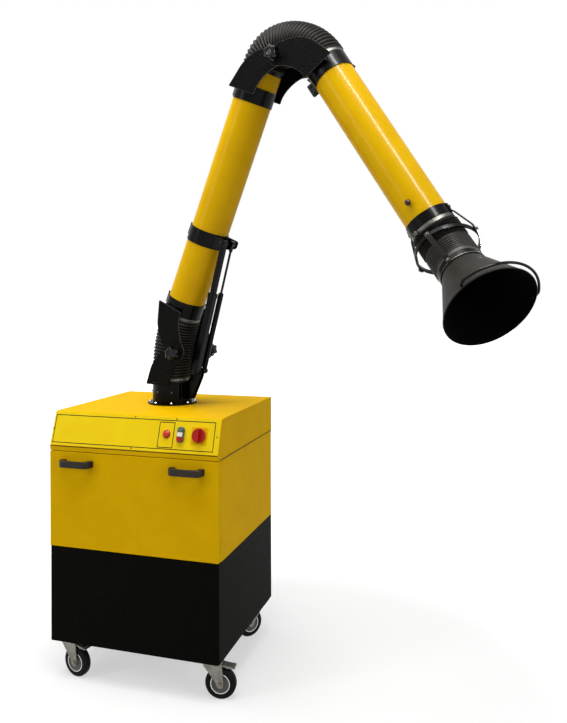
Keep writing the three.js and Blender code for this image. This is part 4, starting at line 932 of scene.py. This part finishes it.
def add_castor(tag):
    swivel = place_of(f"castor_swivel_{tag}")
    wheel = place_of(f"wheel_roll_{tag}")
    floor_spot = Vector((swivel.x, swivel.y, 0))
    own = local(floor_spot, Vector((wheel.x - swivel.x, wheel.y - swivel.y, 0)), UP)
    axle = wheel.z / MM
    plate = slab(rectangle(*CASTOR_PLATE, 8), PLATE_FOOT, PLATE_TOP, 0.8)
    race = softened(turned([(0, RACE_FOOT), (RACE_RADIUS, RACE_FOOT), (RACE_RADIUS, RACE_FOOT + 5),
                            (RACE_RADIUS - 5, PLATE_FOOT), (0, PLATE_FOOT)], 48), 1.2)
    spots = [shift(x * CASTOR_BOLTS[0], y * CASTOR_BOLTS[1], PLATE_FOOT) for x in SIDES for y in SIDES]
    heads = copies(moved(hex_bolt(6, 5), turn(180, "X")), spots)
    piece(f"castor_top_{tag}", joined(plate, race, heads), local(floor_spot, RIGHT, UP), zinc_plate,
          "cabinet", "zinc_steel", [f"castor_plate_{tag}"])

    wide = LEG + 3
    crown = slab([(CROWN_BACK, -wide, 12), (RACE_RADIUS, -wide, 8), (RACE_RADIUS, wide, 8),
                  (CROWN_BACK, wide, 12)], CROWN_FOOT, CROWN_TOP, 1.5)
    trail = CASTOR_TRAIL
    leg = [(CROWN_BACK, CROWN_FOOT, 4), (CROWN_BACK, CROWN_TOP, 2), (RACE_RADIUS + 2, CROWN_TOP, 1),
           (trail - 5, PEDAL_Z + 6, 3), (trail + 8, PEDAL_Z + 6, 5), (trail + 9, CROWN_FOOT, 6),
           (trail + 15, axle, 8), (trail + 10.5, axle - 15, 10), (trail - 10.5, axle - 15, 10),
           (trail - 15, axle + 6, 10)]
    legs = plate_pair(leg, LEG, FORK_SHEET, soft=1.0)
    axle_spot = shift(trail, 0, axle)
    bolts = bolt_pair(8, 6, LEG + FORK_SHEET, "X", axle_spot)
    king = pin(9, CROWN_FOOT - 4, CROWN_FOOT + 1, 1.2)
    piece(f"castor_frame_{tag}", joined(crown, legs, bolts, king), own, zinc_plate, f"castor_{tag}",
          "zinc_steel", [f"castor_fork_{tag}"])

    hub = own @ axle_spot @ ALONG_Y
    half = WHEEL_WIDTH / 2
    tread = [(37, -half), (axle - 9, -half), (axle - 2, 4 - half), (axle - 0.2, 8 - half)]
    tyre = softened(turned(both_ways(tread)), 1.2, above=20)
    piece(f"wheel_tyre_{tag}", tyre, hub, tyre_rubber, f"wheel_{tag}", "castor_tyre",
          [f"castor_wheel_{tag}"])
    rim = [(6.3, half + 2), (14, half + 2), (15.5, half - 2), (32, half - 3), (35, half), (37.5, half)]
    centre = softened(turned(both_ways(rim), 72), 0.7, above=20)
    piece(f"wheel_centre_{tag}", centre, hub, wheel_grey, f"wheel_{tag}", "castor_tyre")
    trims = copies(pipe(35.5, 38.5, half - 0.5, half + 0.6, 0.4), [shift(), turn(180, "X")])
    piece(f"wheel_trim_{tag}", trims, hub, bright_steel, f"wheel_{tag}", "zinc_steel")
    if tag.startswith("front"):
        add_pedal(tag, own @ shift(trail, 0, PEDAL_Z))


def add_pedal(tag, place):
    """Brake pedal: a pressed blade on its barrel, with a ribbed tread."""
    end = LEG - GAP
    tip = [(PEDAL_REACH, -11, 3), (PEDAL_REACH + 2, -6, 3)]
    blade = standing([(0, -2, 0), *tip, (0, 3, 0)], -end, end, soft=0.8)
    pad = standing([(23, -7.6, 1), *tip, (23, -2.4, 1)], -20, 20, soft=1.2)
    barrel = moved(pin(6, -end, end, 0.8), ALONG_Y)
    rib = block((30, 32.5), (-17, 17), (-2.2, 1.2), 0.5)
    ribs = copies(rib, [shift(7 * i, 0, -1.7 - 0.5 * i) for i in range(4)])
    piece(f"pedal_{tag}", joined(blade, pad, barrel, ribs), place, zinc_plate, f"pedal_{tag}",
          "black_plastic", [f"brake_pedal_{tag}"])


for castor_tag in CASTOR_TAGS:
    add_castor(castor_tag)

# Arm foot: bolted flange and turning drum

foot = local(arm_foot, RIGHT, UP)
piece("foot_flange", pipe(FLANGE_BORE, FLANGE_RADIUS, GAP, FLANGE_TOP, 1.2), foot, satin_black, "cabinet",
      "black_coat", ["base_flange"])
bolt_ring = [turn(22.5 + 45 * i, "Z") @ shift(FLANGE_BOLTS, 0, FLANGE_TOP) for i in range(8)]
piece("flange_bolts", copies(dome_screw(5.5, 4.5), bolt_ring), foot, bright_steel, "cabinet", "zinc_steel")

drum_bore = DRUM_RADIUS - DRUM_WALL
neck_bore = TUBE - TUBE_WALL
lid = DRUM_TOP - 4
drum = turned([(drum_bore, DRUM_FOOT), (DRUM_RADIUS, DRUM_FOOT), (DRUM_RADIUS, DRUM_TOP), (TUBE, DRUM_TOP),
               (TUBE, NECK_TOP), (neck_bore, NECK_TOP), (neck_bore, lid), (drum_bore, lid)], 128)
piece("drum_shell", softened(drum, 1.2), TABLE, satin_black, "turntable", "black_coat", ["swivel_drum"])
side_screw = moved(dome_screw(4.5, 3), ALONG_X, shift(DRUM_RADIUS, 0, DRUM_SCREW_LEVEL))
drum_screws = copies(side_screw, [turn(angle, "Z") for angle in (-140, -95, -50, 50, 95, 140)])
piece("drum_screws", drum_screws, TABLE, dull_steel, "turntable", "zinc_steel")

# Yokes: cheek plates, collars and pads


def cheek_pair(rise, way, layer):
    """Two cheek plates, from the pivot at the origin to the tube behind it; layer 1 is the outer one."""
    left = -PIVOT_OFFSET - CHEEK_HALF
    right = -PIVOT_OFFSET + CHEEK_HALF
    disc = PIVOT_DISC
    outline = [(left, rise, CHEEK_CORNER), (left + CHEEK_WAIST, rise * 0.16, CHEEK_SWEEP),
               (-disc * 0.6, -disc, disc * 0.6), (disc, -disc, disc), (disc, disc * 0.7, disc / 2),
               (right + CHEEK_FLARE, rise * 0.45, CHEEK_SWEEP), (right, rise * 0.86, CHEEK_CORNER * 3),
               (right, rise, CHEEK_CORNER)]
    return plate_pair([(x, way * z, reach) for x, z, reach in outline], layer_reach(layer), CHEEK_SHEET,
                      soft=0.7, round_steps=10, tint=1)


def layer_reach(layer):
    """Inner face of the cheek plates of a layer."""
    return CHEEK_SPACING + layer * (CHEEK_SHEET + TUBE_GAP)


def pads(low, high, layer):
    """The two bars that carry the cheek plates on a collar."""
    reach = layer_reach(layer) + 1
    return pair(lambda side: block((-PAD_HALF, PAD_HALF), span(side, PAD_INNER, reach), (low, high), 1.0))


def band(low, high, facing):
    """A split band round a tube with two bolted ears on the facing side, as band and bolts."""
    slit = SLIT / COLLAR_BORE
    bm = swept([(COLLAR_BORE, low), (COLLAR_RADIUS, low), (COLLAR_RADIUS, high), (COLLAR_BORE, high)],
               112, TAU - slit)
    bmesh.ops.holes_fill(bm, edges=[edge for edge in bm.edges if edge.is_boundary], sides=0)
    bmesh.ops.recalc_face_normals(bm, faces=bm.faces)
    moved(softened(bm, 0.7), turn(math.degrees(slit / 2), "Z"))
    ear_face = SLIT / 2 + EAR_SHEET
    ears = pair(lambda side: block((TUBE + 1, COLLAR_RADIUS + EAR_REACH), span(side, SLIT / 2, ear_face),
                                   (low + EAR_MARGIN, high - EAR_MARGIN), 1.0))
    spots = [shift(COLLAR_RADIUS + 13, 0, z) for z in (low + EAR_BOLT, high - EAR_BOLT)]
    heads = joined(*[bolt_pair(5.5, 5, ear_face, "X", spot) for spot in spots])
    shanks = copies(moved(pin(3, -SLIT, SLIT, 0), ALONG_Y), spots)
    faced = turn(0 if facing > 0 else 180, "Z")
    return moved(joined(bm, ears), faced), moved(joined(heads, shanks), faced)


base_cheeks = cheek_pair(SHOULDER_HEIGHT - CHEEK_FOOT, -1, 0)
moved(base_cheeks, shift(PIVOT_OFFSET, 0, SHOULDER_HEIGHT))
# The rounded edges of the cheeks take a lighter grey: a painted highlight.
piece("base_cheeks", base_cheeks, TABLE, pebbled_black, "turntable", "black_coat", ["base_yoke"],
      edge=painted_edge_highlight)
web = DRUM_RADIUS + GAP
eye_x, eye_z = STRUT_FOOT
bracket = [(web, BRACKET_FOOT, 0), (web + BRACKET_HEEL, BRACKET_FOOT, BRACKET_TOE),
           (eye_x + LUG_RADIUS, eye_z - LUG_RADIUS, LUG_RADIUS),
           (eye_x + LUG_RADIUS, eye_z + LUG_RADIUS, LUG_RADIUS),
           (eye_x - LUG_RADIUS, eye_z + LUG_RADIUS, LUG_RADIUS),
           (web + BRACKET_TOE, RING_TOP, BRACKET_TOE), (web, RING_TOP, 0)]
lugs = plate_pair(bracket, BRACKET_HALF - LUG_SHEET, LUG_SHEET, soft=0.6)
web_plate = block((web, web + LUG_SHEET), (-LUG_SPACING, LUG_SPACING), (BRACKET_FOOT, RING_TOP), 1.0)
yoke_ring = pipe(COLLAR_BORE, YOKE_RING_RADIUS, RING_FOOT, RING_TOP, 1.0)
yoke_frame = joined(yoke_ring, web_plate, lugs, pads(RING_FOOT, RING_TOP, 0))
piece("base_yoke_frame", yoke_frame, TABLE, satin_black, "turntable", "black_coat")
pin_reach = STRUT_SIDE + EYE_WIDTH / 2
foot_pin = moved(pin(STRUT_PIN, -pin_reach - 3, pin_reach + 3, 0.8), ALONG_Y)
strut_pin = moved(joined(foot_pin, bolt_pair(8, 5, pin_reach, "X")), shift(eye_x, 0, eye_z))
piece("strut_foot_pin", strut_pin, TABLE, dark_steel, "turntable", "zinc_steel")


def collar_yoke(name, place, pivot, collar, pad, body, way, layer, ear):
    """A collar with its cheek plates, ears and screws, on a tube that runs one offset behind the pivot."""
    tube = place @ shift(-PIVOT_OFFSET)
    loop, bolts = band(*collar, ear)
    # The rounded edges of the cheeks take a lighter grey: a painted highlight.
    piece(f"{name}_cheeks", cheek_pair(CHEEK_RISE, way, layer), place @ along(pivot), pebbled_black, body,
          "black_coat", [f"{name}_yoke"], edge=painted_edge_highlight)
    piece(f"{name}_collar", joined(loop, pads(*pad, layer)), tube, satin_black, body, "black_coat")
    piece(f"{name}_bolts", bolts, tube, dark_steel, body, "zinc_steel")


near_collar = (COLLAR_REACH, COLLAR_END)
near_pad = (COLLAR_REACH, CHEEK_RISE)
far_collar = (LOWER_LINK - COLLAR_END, LOWER_LINK - COLLAR_REACH)
far_pad = (LOWER_LINK - CHEEK_RISE, LOWER_LINK - COLLAR_REACH)
collar_yoke("shoulder", LOWER, 0, near_collar, near_pad, "lower_arm", way=1, layer=1, ear=-1)
collar_yoke("elbow_lower", LOWER, LOWER_LINK, far_collar, far_pad, "lower_arm", way=-1, layer=0, ear=-1)
collar_yoke("elbow_upper", UPPER, 0, near_collar, near_pad, "upper_arm", way=1, layer=1, ear=1)

# Tubes, with the damper near the hood

for name, place, end in (("lower", LOWER_TUBE, LOWER_END), ("upper", UPPER_TUBE, UPPER_END)):
    piece(f"{name}_duct", pipe(TUBE - TUBE_WALL, TUBE, TUBE_END, end, 0.6, 128), place, yellow_powder,
          f"{name}_arm", "yellow_paint", [f"{name}_tube"])
damper_place = UPPER_TUBE @ along(UPPER_END - DAMPER_SET_BACK)
blade = moved(pin(DAMPER_RADIUS, -0.75, 0.75, 0.3, 96), ALONG_X)
spindle = moved(pin(4, -81, 82, 0.6), ALONG_Y)
piece("damper_flap", joined(blade, spindle), damper_place, galvanised, "damper", "zinc_steel", ["damper"])
ball = [(0, 80.6), (5, 80.6), (5, 83)]
for angle in range(30, 180, 15):
    ball.append((DAMPER_KNOB * math.sin(math.radians(angle)), 92 - 10 * math.cos(math.radians(angle))))
ball.append((0, 102))
piece("damper_knob", moved(turned(ball, 48), turn(90, "X")), damper_place, damper_brown, "damper",
      "black_plastic")

# Friction knobs


def star_knob():
    """Lobed clamping knob on its boss, standing on Z = 0."""
    top = WASHER_HEIGHT + KNOB_HEIGHT
    profile = [(0, 0), (WASHER_RADIUS, 0), (WASHER_RADIUS, WASHER_HEIGHT - 2),
               (WASHER_RADIUS + 3, WASHER_HEIGHT), (KNOB_RADIUS - 4, WASHER_HEIGHT + 3),
               (KNOB_RADIUS, WASHER_HEIGHT + 8), (KNOB_RADIUS, top - 8), (KNOB_RADIUS - 2, top - 3),
               (KNOB_RADIUS - 7, top), (13, top - 1), (11, top - 4), (0, top - 4)]
    bm = softened(turned(profile, 144), 1.0, above=25)
    for vert in bm.verts:
        radius = math.hypot(vert.co.x, vert.co.y)
        angle = math.atan2(vert.co.y, vert.co.x)
        lift = min(max((vert.co.z - WASHER_HEIGHT) / 4, 0), 1) * min(max((radius - 13) / 8, 0), 1)
        swell = 1 + lift * (0.11 * math.cos(KNOB_LOBES * angle) - 0.02)
        vert.co.x *= swell
        vert.co.y *= swell
    return bm


STACK = CHEEK_SPACING + 2 * CHEEK_SHEET + TUBE_GAP + GAP
for name, place in (("shoulder", LOWER), ("elbow", UPPER)):
    for tag, side in (("near", 1), ("far", -1)):
        knob = moved(star_knob(), along(STACK), turn(side * 90, "X"))
        piece(f"{name}_star_{tag}", knob, place, knob_phenolic, f"{name}_knob_{tag}", "black_plastic",
              [f"{name}_knob_{tag}"], sharp=50)

# Balance struts and their clamp

loop, bolts = band(CLAMP_REACH, CLAMP_REACH + CLAMP_WIDTH, -1)
tip = PIVOT_OFFSET + LUG_RADIUS
lug_root = TUBE * 0.9
lug = [(lug_root, CLAMP_REACH + EAR_MARGIN, 0), (TUBE + 4, CLAMP_REACH + EAR_MARGIN, LUG_RADIUS),
       (tip, STRUT_TOP_REACH - LUG_RADIUS, LUG_RADIUS * 0.6),
       (tip, STRUT_TOP_REACH + LUG_RADIUS, LUG_RADIUS * 0.6), (lug_root, STRUT_TOP_REACH + LUG_RADIUS, 0)]
lugs = plate_pair(lug, LUG_SPACING, LUG_SHEET, soft=0.7)
cross = block((TUBE - 1, TUBE + 5), (-LUG_SPACING, LUG_SPACING), (CLAMP_REACH + 8, CLAMP_REACH + 56), 1.0)
piece("clamp_band", joined(loop, cross, lugs), LOWER_TUBE, satin_black, "lower_arm", "black_coat",
      ["strut_clamp"])
# The top pin is two stubs, because the eyes of the struts drift a little between the lugs.
lug_face = LUG_SPACING + LUG_SHEET
stub = joined(pin(STRUT_PIN, LUG_SPACING - 1.5, lug_face, 0.6), moved(hex_bolt(8, 6), along(lug_face)))
stubs = copies(stub, [turn(side * 90, "X") for side in SIDES])
moved(stubs, shift(PIVOT_OFFSET, 0, STRUT_TOP_REACH))
piece("clamp_bolts", joined(bolts, stubs), LOWER_TUBE, dark_steel, "lower_arm", "zinc_steel")

strut_top = from_frame(STRUT, LOWER, (0, 0, STRUT_TOP_REACH)).z
eye = moved(pipe(STRUT_PIN + GAP, EYE_RADIUS, -EYE_WIDTH / 2, EYE_WIDTH / 2, 1.0, 48), ALONG_Y)
gas_side = STRUT @ shift(0, STRUT_SIDE)
bar_side = STRUT @ shift(0, -STRUT_SIDE)
rod_foot = STRUT_BODY - STRUT_INSIDE
rod_top = strut_top - EYE_RADIUS + 4
gas_bore = GAS_ROD + 0.4
cylinder = softened(turned([
    (gas_bore, EYE_RADIUS - 3), (GAS_RADIUS - 3, EYE_RADIUS - 3), (GAS_RADIUS, EYE_RADIUS + 4),
    (GAS_RADIUS, STRUT_BODY - 6), (GAS_RADIUS - 2, STRUT_BODY), (gas_bore, STRUT_BODY)], 48), 1.2)
piece("gas_cylinder", joined(eye.copy(), cylinder), gas_side, satin_black, "strut_lower", "black_coat",
      ["gas_spring_cylinder"])
top_eye = moved(eye.copy(), along(strut_top))
gas_rod = joined(pin(GAS_ROD, rod_foot, rod_top, 0.5), pin(8, strut_top - 34, strut_top - 10, 1.0),
                 top_eye.copy())
piece("gas_rod", gas_rod, gas_side, dark_steel, "strut_upper", "zinc_steel", ["gas_spring_rod"])
guide = joined(eye, slab(rectangle(GUIDE, GUIDE, 4), EYE_RADIUS - 4, STRUT_BODY, 0.8),
               slab(rectangle(GUIDE + 3, GUIDE + 3, 5), STRUT_BODY - 20, STRUT_BODY - 1, 1.0))
piece("guide_tube", guide, bar_side, satin_black, "strut_lower", "black_coat", ["balance_guide"])
inner_bar = joined(slab(rectangle(GUIDE_BAR, GUIDE_BAR, 3), rod_foot, rod_top, 0.6), top_eye)
piece("guide_bar", inner_bar, bar_side, satin_black, "strut_upper", "black_coat", ["balance_bar"])

# Hoses and their clips


def add_hose(name, node, bm, place, material, bodies, start, end):
    """A hose baked into the part's frame; the two bodies and the two points of its line that it is given do
    not attach or bend it.
    """
    piece(name, bm, place, material, (*bodies, place @ start[0], place @ end[0]), "hose_rubber", [node])


def add_clip(name, place, level, facing, material, body, width=11):
    """A worm-drive clip round a hose end, with its screw housing at the facing angle."""
    root = HOSE_ROOT
    ribbon = pipe(root - 0.6, root + 0.9, -width / 2, width / 2, 0.3)
    house = block((root, root + 9), (-9, 9), (-width / 2 - 1, width / 2 + 1), 1.6)
    screw = moved(joined(pin(3.2, -14, 9, 0.6, 16), pin(5, 9, 14, 0.6, 6)), ALONG_Y, shift(root + 5.5))
    piece(name, moved(joined(ribbon, house, screw), turn(facing, "Z"), along(level)), place, material, body,
          "zinc_steel")


across = Vector((0, 1, 0))
length, at = bend_route(
    UP * HOSE_FOOT, UP, NECK_TOP - HOSE_FOOT, from_frame(TABLE, LOWER_TUBE, (0, 0, HOSE_END)),
    z_way_from(TABLE, LOWER), HOSE_END - TUBE_END, SHOULDER_HEIGHT * 0.36)
shoulder_hose = hose(length, at, across, ribs=20, cuff=(15, 16))
add_hose("shoulder_duct_hose", "shoulder_hose", shoulder_hose, TABLE, hose_fabric,
         ("turntable", "lower_arm"), at(HOSE_HOLD), at(length - HOSE_HOLD))
add_clip("shoulder_clip_low", TABLE, HOSE_FOOT + 7, -110, dull_steel, "turntable")
add_clip("shoulder_clip_high", LOWER_TUBE, HOSE_END - 8, 180, dull_steel, "lower_arm")

length, at = bend_route(
    Vector((-PIVOT_OFFSET, 0, LOWER_END - HOSE_GRIP)), UP, HOSE_GRIP,
    from_frame(LOWER, UPPER_TUBE, (0, 0, HOSE_END)), z_way_from(LOWER, UPPER), HOSE_END - TUBE_END,
    PIVOT_OFFSET)
elbow_hose = hose(length, at, across, ribs=28, cuff=(15, 18), helix=2)
add_hose("elbow_duct_hose", "elbow_hose", elbow_hose, LOWER, hose_fabric,
         ("lower_arm", "upper_arm"), at(HOSE_HOLD), at(length - HOSE_HOLD))
add_clip("elbow_clip_low", LOWER_TUBE, LOWER_END - HOSE_GRIP + 7, 180, dark_steel, "lower_arm")
add_clip("elbow_clip_high", UPPER_TUBE, HOSE_END - 8, 0, dull_steel, "upper_arm")

hood_way = z_way_from(JOINT, HOOD)
hood_across = UP.cross(hood_way).normalized()
hood_start = -STAY_COLLAR_TOP - GAP
hood_end = HOOD_BAND - GAP
whole, at = bend_route(UP * -hood_start, UP, hood_start - UPPER_TUBE_END,
                       hood_way * hood_end, hood_way, hood_end - HOOD_NECK, HOOD_NECK / 2)
half_way = whole / 2 - GAP
lower_from = whole - half_way
upper_hose = hose(half_way, at, hood_across, ribs=9, rib=5.2, cuff=(16, 0), per_rib=12)
add_hose("hood_duct_hose_upper", "hood_hose_upper", upper_hose, JOINT, hose_fabric, ("upper_arm", "ring"),
         at(20), at(half_way))
lower_hose = hose(half_way, lambda distance: at(lower_from + distance), hood_across, ribs=8, rib=3.6,
                  cuff=(0, 8), sink=0.8)
add_hose("hood_duct_hose_lower", "hood_hose_lower", lower_hose, JOINT, dusty_hose, ("ring", "hood"),
         at(lower_from), at(whole - 14))
add_clip("hood_clip", JOINT, STAY_COLLAR_TOP + 8, -60, dull_steel, "upper_arm", width=12)

# Hood joint: collar with stays, ring, band with bars


def cranked(near, far, corner, way):
    """Outline of a strip that steps out from a collar, over the ribs of the hose, to its pivot."""
    outline = [(STAY_X, -STAY_TIP, 1.5), (STAY_X + STAY_SHEET, -STAY_TIP, 1.5),
               (STAY_X + STAY_SHEET, STAY_TIP + 10, 6), (RIB_TOP + 2 + STAY_SHEET, near, 5),
               (STAY_FOOT, near + 6, 3), (STAY_FOOT, far, corner), (TUBE + 1, far, 0),
               (TUBE + 1, near + 3, 0), (RIB_TOP + 2, near - 2, 4), (STAY_X, STAY_TIP + 8, 5)]
    return [(x, way * z, reach) for x, z, reach in outline]


def joint_bolts(axis, level):
    """Bolts of the two pivots, and of the two strips on their collar."""
    pivots = bolt_pair(6, 6, STAY_X + STAY_SHEET, axis)
    return joined(pivots, bolt_pair(5, 4, STAY_FOOT, axis, along(level)))


strip = (-STAY_WIDTH / 2, STAY_WIDTH / 2)
stay = cranked(-STAY_COLLAR_TOP, -STAY_COLLAR_FOOT - 2, 1.5, -1)
stays = pair(lambda side: standing(flipped(stay, side), *strip, soft=0.7))
collar = pipe(COLLAR_BORE, COLLAR_RADIUS, STAY_COLLAR_FOOT, STAY_COLLAR_TOP, 0.7)
piece("stay_band", joined(collar, stays), JOINT, satin_black, "upper_arm", "black_coat", ["stay_collar"])
piece("stay_bolts", joint_bolts("Y", STAY_COLLAR_FOOT + 17), JOINT, dull_steel, "upper_arm", "zinc_steel")

ring_band = pipe(RING_RADIUS, RING_RADIUS + RING_SHEET, -RING_HEIGHT / 2, RING_HEIGHT / 2, 1.2, 128)
piece("joint_ring", ring_band, RING, satin_black, "ring", "black_coat", ["gimbal_ring"])

bar = cranked(HOOD_BAND, BAND_END, 1, 1)
bars = pair(lambda side: moved(slab(flipped(bar, side), *strip, 0.7), IN_YZ))
piece("hood_bars", bars, HOOD, hood_grey, "hood", "hood_coat", ["hood_band"])
hood_collar = pipe(COLLAR_BORE, COLLAR_RADIUS, HOOD_BAND, BAND_END, 0.8)
piece("hood_collar", hood_collar, HOOD, satin_black, "hood", "black_coat")
collar_edge = pipe(COLLAR_BORE, COLLAR_RADIUS + 1.4, BAND_END - 1, BAND_END + 1.6, 0.6)
piece("hood_collar_edge", collar_edge, HOOD, dull_steel, "hood", "zinc_steel")
piece("hood_bolts", joint_bolts("X", HOOD_BAND + 14), HOOD, dull_steel, "hood", "zinc_steel")
strap = interpolate_bezier(Vector((-STAY_X - 2, 0, 12)), Vector((-STAY_X - 4, -4, 46)),
                           Vector((-108, -6, 82)), Vector((-84, 0, HOOD_BAND + 12)), 40)
piece("ring_strap", rod([Vector(point) for point in strap], 1.6), HOOD, bright_steel, "hood", "zinc_steel")

# Hood: spun cone with a rolled rim, black inside, and its grip

hood_bore = TUBE - HOOD_WALL
cone = turned([(hood_bore, HOOD_NECK), (TUBE, HOOD_NECK), (TUBE, HOOD_NECK_END),
               (MOUTH_RADIUS, MOUTH_REACH - 2 * BEAD), (MOUTH_RADIUS + BEAD, MOUTH_REACH - BEAD),
               (MOUTH_RADIUS, MOUTH_REACH), (MOUTH_RADIUS - HOOD_WALL, MOUTH_REACH - BEAD),
               (hood_bore, HOOD_NECK_END + 1)], 144)
softened(cone, 1.6, 3, above=15)
cone.normal_update()
for face in cone.faces:
    centre = face.calc_center_median()
    outwards = face.normal.x * centre.x + face.normal.y * centre.y
    face.material_index = 1 if outwards < 0 else 0
piece("hood_shell", cone, HOOD, hood_grey, "hood", "hood_coat", ["hood_cone"], edge=hood_soot)

sweep = (GRIP_TO - GRIP_FROM) / GRIP_STEPS
bow = [(MOUTH_RADIUS - 8, GRIP_FROM - 1.5), (MOUTH_RADIUS + 4, GRIP_FROM - 0.8)]
bow += [(GRIP_RADIUS, GRIP_FROM + sweep * i) for i in range(2, GRIP_STEPS - 1)]
bow += [(MOUTH_RADIUS + 4, GRIP_TO + 0.8), (MOUTH_RADIUS - 8, GRIP_TO + 1.5)]
line = [turn(angle, "Z") @ Vector((radius, 0, GRIP_Z)) for radius, angle in bow]
grip = rod(line, GRIP_BAR, sides=20, steps=140)
piece("hood_grip", grip, HOOD, nylon_black, "hood", "black_coat", ["grip_ring"])

# Floor, light and camera

stage = bmesh.new()
bmesh.ops.create_grid(stage, x_segments=1, y_segments=1, size=30)
floor_mesh = bpy.data.meshes.new("studio_floor")
stage.to_mesh(floor_mesh)
stage.free()
studio_floor = bpy.data.objects.new("studio_floor", floor_mesh)
bpy.context.scene.collection.objects.link(studio_floor)


def shown(tree):
    """One for rays that show the background: seen directly, in a reflection or through glass."""
    path = add(tree, "ShaderNodeLightPath").outputs
    seen = path["Is Camera Ray"]
    for ray in ("Is Glossy Ray", "Is Transmission Ray"):
        seen = add(tree, "ShaderNodeMath", {0: seen, 1: path[ray]}, operation="MAXIMUM").outputs[0]
    return seen


# White paper floor: it shows white to the camera and keeps the shadow under the machine.
paper = bpy.data.materials.new("white_paper_floor")
paper.use_nodes = True
tree = paper.node_tree
ground = tree.nodes["Principled BSDF"]
ground.inputs["Roughness"].default_value = 0.9
ground.inputs["Specular IOR Level"].default_value = 0.1
spot = add(tree, "ShaderNodeTexCoord").outputs["Object"]
fleck = add(tree, "ShaderNodeTexNoise", {"Scale": per_metre(3), "Vector": spot})
tint = add(tree, "ShaderNodeValToRGB", {"Fac": fleck.outputs["Fac"]})
tint.color_ramp.elements[0].color = linear("#BDBDBD")
tint.color_ramp.elements[1].color = linear("#C3C3C3")
tree.links.new(tint.outputs["Color"], ground.inputs["Base Color"])
far = add(tree, "ShaderNodeVectorMath", {0: spot}, operation="LENGTH")
fade = add(tree, "ShaderNodeMapRange", {
    "Value": far.outputs["Value"], "From Min": 1.0, "From Max": 2.6, "To Min": 0.55, "To Max": 1.2})
lift = add(tree, "ShaderNodeMath", {0: shown(tree), 1: fade.outputs["Result"]}, operation="MULTIPLY")
glow = add(tree, "ShaderNodeEmission", {"Color": (1, 1, 1, 1), "Strength": lift.outputs[0]})
both = add(tree, "ShaderNodeAddShader", {0: ground.outputs[0], 1: glow.outputs[0]})
tree.links.new(both.outputs[0], tree.nodes["Material Output"].inputs["Surface"])
floor_mesh.materials.append(paper)

# Plain studio: white where it is seen, and a low even fill on the machine.
WORLD_LEVEL = 0.22
world = bpy.data.worlds.new("studio")
bpy.context.scene.world = world
world.use_nodes = True
tree = world.node_tree
level = add(tree, "ShaderNodeMix", {"Factor": shown(tree), "A": WORLD_LEVEL, "B": 1.0})
tree.links.new(level.outputs["Result"], tree.nodes["Background"].inputs["Strength"])
tree.nodes["Background"].inputs["Color"].default_value = (1, 1, 1, 1)


def softbox(name, place, target, size, power, roll=0):
    """An area lamp that looks at its target; sizes in metres and power in watts."""
    lamp_data = bpy.data.lights.new(name, "AREA")
    lamp_data.shape = "RECTANGLE"
    lamp_data.size, lamp_data.size_y = size
    lamp_data.energy = power
    box = bpy.data.objects.new(name, lamp_data)
    box.location = place
    look = (Vector(target) - Vector(place)).to_track_quat("-Z", "Y")
    box.rotation_euler = (look @ Quaternion((0, 0, 1), math.radians(roll))).to_euler()
    bpy.context.scene.collection.objects.link(box)
    return box


softbox("top_box", (-0.6, -0.6, 5.2), target=(-0.2, 0.1, 1.0), size=(4.0, 3.0), power=198)
softbox("left_box", (-4.2, -3.6, 3.4), target=(-0.4, 0.0, 1.4), size=(1.0, 3.2), power=62)
softbox("right_box", (4.6, -1.8, 2.2), target=(0.0, 0.0, 1.2), size=(1.6, 3.2), power=52)
# A narrow strip along the upper tube, seen only as the bright line in its gloss.
strip_box = softbox("strip_box", (1.113, -1.415, 4.228), target=(0.394, -0.150, 2.195), size=(0.34, 2.6),
                    power=300, roll=25)
strip_box.visible_diffuse = False

camera_data = bpy.data.cameras.new("camera")
camera_data.sensor_fit = "AUTO"
camera_data.sensor_width = 36
camera_data.lens = CAMERA_LENS
camera_data.shift_y = CAMERA_SHIFT
camera_data.clip_end = 100
camera = bpy.data.objects.new("camera", camera_data)
camera.location = CABINET @ Vector(CAMERA_PLACE)
look = turn(CAMERA_YAW, "Z") @ turn(90 + CAMERA_PITCH, "X") @ turn(CAMERA_ROLL, "Z")
camera.rotation_euler = look.to_euler()
bpy.context.scene.collection.objects.link(camera)
bpy.context.scene.camera = camera
bpy.context.scene.view_settings.view_transform = "Standard"
